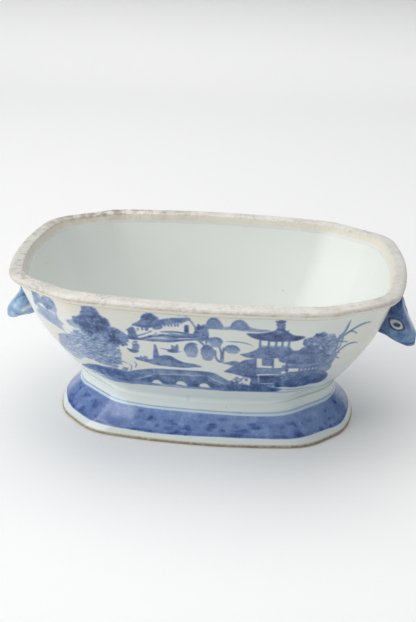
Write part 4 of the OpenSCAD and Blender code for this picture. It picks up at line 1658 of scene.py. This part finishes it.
def makeHead(node, side, look):
    rings, middle = headRings(look["chin"], look["dish"])
    count, rows = headBuild["around"], len(rings)
    points = rings.reshape(-1, 3)
    x, y, z = points[:, 0] - headBuild["reach"], points[:, 1], points[:, 2]
    flank = ease(np.abs(y) / headBuild["cheek"], 0.25, 0.7)
    c, s = math.cos(eyeAt["lean"]), math.sin(eyeAt["lean"])
    u, v = (x - eyeAt["x"]) * c + (z - eyeAt["z"]) * s, (z - eyeAt["z"]) * c - (x - eyeAt["x"]) * s
    almond = np.hypot(
        u / eyeAt["wide"], v / (eyeAt["tall"] * (1 - 0.35 * np.clip(np.abs(u) / eyeAt["wide"], 0, 1) ** 2))
    )
    pupil = np.hypot((u * 0.94 + v * 0.34 - 0.3) / 3.3, (v * 0.94 - u * 0.34) / 1.9)
    brow = nearLine(x, z, [(-16, 94), (-10, 90.5), (-2.5, 86), (2, 80)], 3.4)
    mouth = nearLine(x, z, [(7, 66), (2, 65.2), (-5, 67.5), (-11, 70.4), (-13, 73)], 1.3)
    jowl = ease(np.hypot((x + 14) / 9, (z - 75) / 7), 1, 0.2)
    swell = brow * 1.3 + jowl * 1.0 + ease(almond, 1.05, 0.5) * 0.8 - ease(
        np.abs(almond - 1.22), 0.22, 0.04
    ) * 0.45 - mouth * 0.9
    points[:, 1] += np.sign(y) * swell * flank
    # bristled ridge down the middle of the brow, a raised edge round the snout, and nostrils
    ridge = ease(np.abs(y), 3.2, 0.4) * ease(z, 84, 90) * ease(x, -14, -8)
    points[:, 0] += ridge * 0.9
    snout = ease(x, 3.6, 6.4)
    edge = snout * ease(np.abs(np.hypot(y / 6.6, (z - 66) / 5.0) - 1), 0.35, 0.05)
    points[:, 0] += edge * 0.5
    nostril = ease(np.hypot((np.abs(y) - 2.6) / 1.5, (z - 67) / 1.2), 1.2, 0.4) * snout
    points[:, 0] -= nostril * 1.3
    paintNoise = np.array(
        [noise.noise(Vector((a * 0.16, b * 0.16, d * 0.16 + look["seed"]))) for a, b, d in points]
    )
    streak = np.array(
        [noise.noise(Vector((a * 0.5, b * 0.12, d * 0.9 + look["seed"]))) for a, b, d in points]
    )
    rooted = ease(np.arange(rows) / rows, 0.3, 0.0)[:, None].repeat(count, 1).ravel()
    # the wash level is set per head: paler on the left head as painted light, darker on the right as painted
    # shade
    density = look["wash"] + paintNoise * 0.22 + streak * 0.08 + rooted * 0.26
    density += brow * flank * 0.16 + mouth * flank * 0.25
    density += nostril * 0.4 - jowl * flank * 0.1 - ease(almond, 1.9, 1.2) * 0.08 * flank
    white = ease(almond, 1.02, 0.84) * flank * look["eye"]
    # a white streak painted on the cheek by the mouth, on the left head only
    for a, b in look["whiteStreaks"]:
        white = np.maximum(
            white, nearLine(x, z, [a, ((a[0] + b[0]) / 2, (a[1] + b[1]) / 2 + 0.3), b], 2.3) * flank
        )
    outline = np.maximum(
        ease(np.abs(almond - 1.14), 0.3, 0.08) * 0.85, ease(pupil, 1.15, 0.7)
    ) * flank * look["eye"]
    outline = np.maximum(outline, nearLine(x, z, [(-13.4, 88), (-9, 88.4), (-3.6, 84)], 0.8) * flank * 0.5)
    faces = []
    for r in range(rows - 1):
        for i in range(count):
            j = (i + 1) % count
            faces.append((r * count + i, r * count + j, (r + 1) * count + j, (r + 1) * count + i))
    root, nose = points[:count].mean(0) + [3, 0, 0], points[-count:].mean(0)
    stack = np.vstack([points, root, nose]) * [side, 1, 1]
    for i in range(count):
        faces.append((i, (i + 1) % count, len(stack) - 2))
        faces.append(((rows - 1) * count + i, (rows - 1) * count + (i + 1) % count, len(stack) - 1))
    mesh = bpy.data.meshes.new(node)
    mesh.from_pydata(stack.tolist(), [], faces)
    piece = bpy.data.objects.new(node.replace("boar_head", "head_modelled"), mesh)
    bpy.context.scene.collection.objects.link(piece)
    for name, values in (("cobalt", density), ("bareWhite", white), ("outline", outline)):
        writeNumbers(mesh, name, np.clip(np.r_[values, values[0], values[-1]], 0, 1))
    closeUp(piece, 80)
    settle(piece, node, blueGlazeFinish)


earBuild = {"rows": 26, "around": 28, "width": 4.6, "thick": 2.6, "hollow": 1.1}


def makeEars(node, side, look):
    # two leaf-shaped ears, hollowed on their outer faces
    points, faces, density = [], [], []
    rows, around = earBuild["rows"], earBuild["around"]
    spine = smoothThrough(
        [(-9.5, 9.0, 88), (-8.2, 9.8, 94), (-7.8, 9.8, 100), (-8.2, 9.4, 106), (-9.4, 8.6, 112)], rows
    )
    spine = spine[np.linspace(0, len(spine) - 1, rows).round().astype(int)]
    for hand in (-1, 1):
        first = len(points)
        for k, (cx, cy, cz) in enumerate(spine):
            t = k / (rows - 1)
            wide = earBuild["width"] * (
                math.sin(math.pi * min(1, 0.22 + 0.78 * t)) ** 0.75 + 0.1 * (1 - t)
            ) * (1.12 - 0.2 * t)
            thick = earBuild["thick"] * (1 - 0.72 * t) + 0.25
            for i in range(around):
                a = 2 * math.pi * i / around
                du, dv = math.cos(a) * max(wide, 0.35), math.sin(a) * thick
                dv -= earBuild["hollow"] * (1 - (math.cos(a)) ** 2) * (math.sin(a) > 0) * math.sin(
                    math.pi * min(1, t * 1.05)
                ) * 1.2
                # the broad face looks outwards and a little sideways
                out, over = dv * 0.8 + du * 0.42, du * 0.85 - dv * 0.35
                points.append((side * (headBuild["reach"] + cx + out), hand * (cy + over), cz + du * 0.15))
                density.append(
                    look["wash"] + 0.2 * (abs(math.cos(a)) > 0.8) + 0.16 * t - 0.12 * (math.sin(a) > 0.5)
                )
        for k in range(rows - 1):
            for i in range(around):
                j = (i + 1) % around
                faces.append(
                    tuple(
                        first + n for n in (
                            k * around + i, k * around + j, (k + 1) * around + j, (k + 1) * around + i
                        )
                    )
                )
        faces.append(tuple(first + i for i in range(around)))
        faces.append(tuple(first + (rows - 1) * around + i for i in range(around)))
    mesh = bpy.data.meshes.new(node)
    mesh.from_pydata(points, [], faces)
    piece = bpy.data.objects.new(node.replace("head_ears", "pricked_ears"), mesh)
    bpy.context.scene.collection.objects.link(piece)
    writeNumbers(mesh, "cobalt", np.clip(density, 0, 1))
    for name in ("bareWhite", "outline"):
        writeNumbers(mesh, name, np.zeros(len(points)))
    closeUp(piece, 70)
    settle(piece, node, blueGlazeFinish)


# painted light and shade: both heads and their ears carry one blue glaze, but the left ones get a much paler
# wash as painted light where the window falls on them, the right ones a darker wash as painted shade
headLooks = {
    "right": {"wash": 0.46, "eye": 1.0, "seed": 1.7, "chin": 0.0, "dish": 0.5, "whiteStreaks": []},
    "left": {
        "wash": 0.2, "eye": 0.0, "seed": 6.1, "chin": 2.6, "dish": 3.0, "whiteStreaks": [((-7, 74.4), (-14, 78.6))]
    },
}
for name, side in (("right", 1), ("left", -1)):
    makeHead(name + "_boar_head", side, headLooks[name])
    makeEars(name + "_head_ears", side, headLooks[name])


# camera, lights and table

cameraLook = {
    "place": (0.07377, -0.76176, 0.40374),
    "turn": 0.0977,
    "tilt": 0.4029,
    "roll": -0.026,
    "lens": 62.5,
}


def makeCamera():
    turn, tilt, roll = cameraLook["turn"], cameraLook["tilt"], cameraLook["roll"]
    ahead = Vector((-math.sin(turn) * math.cos(tilt), math.cos(turn) * math.cos(tilt), -math.sin(tilt)))
    right0 = Vector((math.cos(turn), math.sin(turn), 0))
    down0 = ahead.cross(right0)
    right = right0 * math.cos(roll) + down0 * math.sin(roll)
    up = right.cross(ahead)
    data = bpy.data.cameras.new("camera")
    data.lens, data.sensor_width, data.sensor_fit = cameraLook["lens"], 36, "AUTO"
    camera = bpy.data.objects.new("camera", data)
    matrix = camera.matrix_world.copy()
    for k in range(3):
        matrix[k] = (right[k], up[k], -ahead[k], cameraLook["place"][k])
    camera.matrix_world = matrix
    bpy.context.scene.collection.objects.link(camera)
    bpy.context.scene.camera = camera


makeCamera()

lights = [
    # name, place, aimed at, size, power, colour
    ("window", (-1.9, -1.0, 1.25), (0, 0, 0.08), 1.9, 33, (1.0, 0.99, 0.97)),
    ("overhead", (-0.1, 0.6, 2.2), (0, 0, 0.0), 2.6, 31, (1.0, 1.0, 1.0)),
]
for name, place, target, size, power, colour in lights:
    data = bpy.data.lights.new(name, "AREA")
    data.shape, data.size, data.energy, data.color = "SQUARE", size, power, colour
    lamp = bpy.data.objects.new(name, data)
    lamp.location = place
    lamp.rotation_euler = (Vector(target) - Vector(place)).to_track_quat("-Z", "Y").to_euler()
    bpy.context.scene.collection.objects.link(lamp)

world = bpy.data.worlds.new("studio")
world.use_nodes = True
world.node_tree.nodes["Background"].inputs["Color"].default_value = (0.95, 0.96, 0.955, 1)
world.node_tree.nodes["Background"].inputs["Strength"].default_value = 0.42
bpy.context.scene.world = world
bpy.context.scene.view_settings.view_transform = "Standard"

sweep = {"front": -3.0, "bend": 1.1, "radius": 0.9, "height": 3.0, "half": 3.5}


def sweepOutline():
    # the table runs back, curves up and becomes the wall
    angles = np.linspace(0, math.pi / 2, 24)
    curve = [
        (sweep["bend"] + sweep["radius"] * math.sin(a), sweep["radius"] * (1 - math.cos(a))) for a in angles
    ]
    return [(sweep["front"], 0.0), *curve, (sweep["bend"] + sweep["radius"], sweep["height"])]


outline = sweepOutline()
floorMesh = bpy.data.meshes.new("table")
floorMesh.from_pydata(
    [(side * sweep["half"], y, z) for y, z in outline for side in (-1, 1)], [],
    [(2 * k, 2 * k + 1, 2 * k + 3, 2 * k + 2) for k in range(len(outline) - 1)],
)
floorMesh.polygons.foreach_set("use_smooth", [True] * len(floorMesh.polygons))
table = bpy.data.objects.new("table", floorMesh)
bpy.context.scene.collection.objects.link(table)
paint = Finish("table paint")
tableColour = paint.tint(paint.noise(400, 2.0) * 0.5, srgb(252, 252, 252), srgb(247, 248, 249))
# painted shade: the sweep turns dark grey as it rises into the wall, standing in for a wall in shade behind a
# bright table
tableColour = paint.tint(paint.z.between(5, 320), tableColour, srgb(118, 120, 120))
table.data.materials.append(
    paint.close(tableColour, 0.6 + paint.noise(30) * 0.1, paint.bump(paint.noise(4), 0.00002))
)
print("stage set")
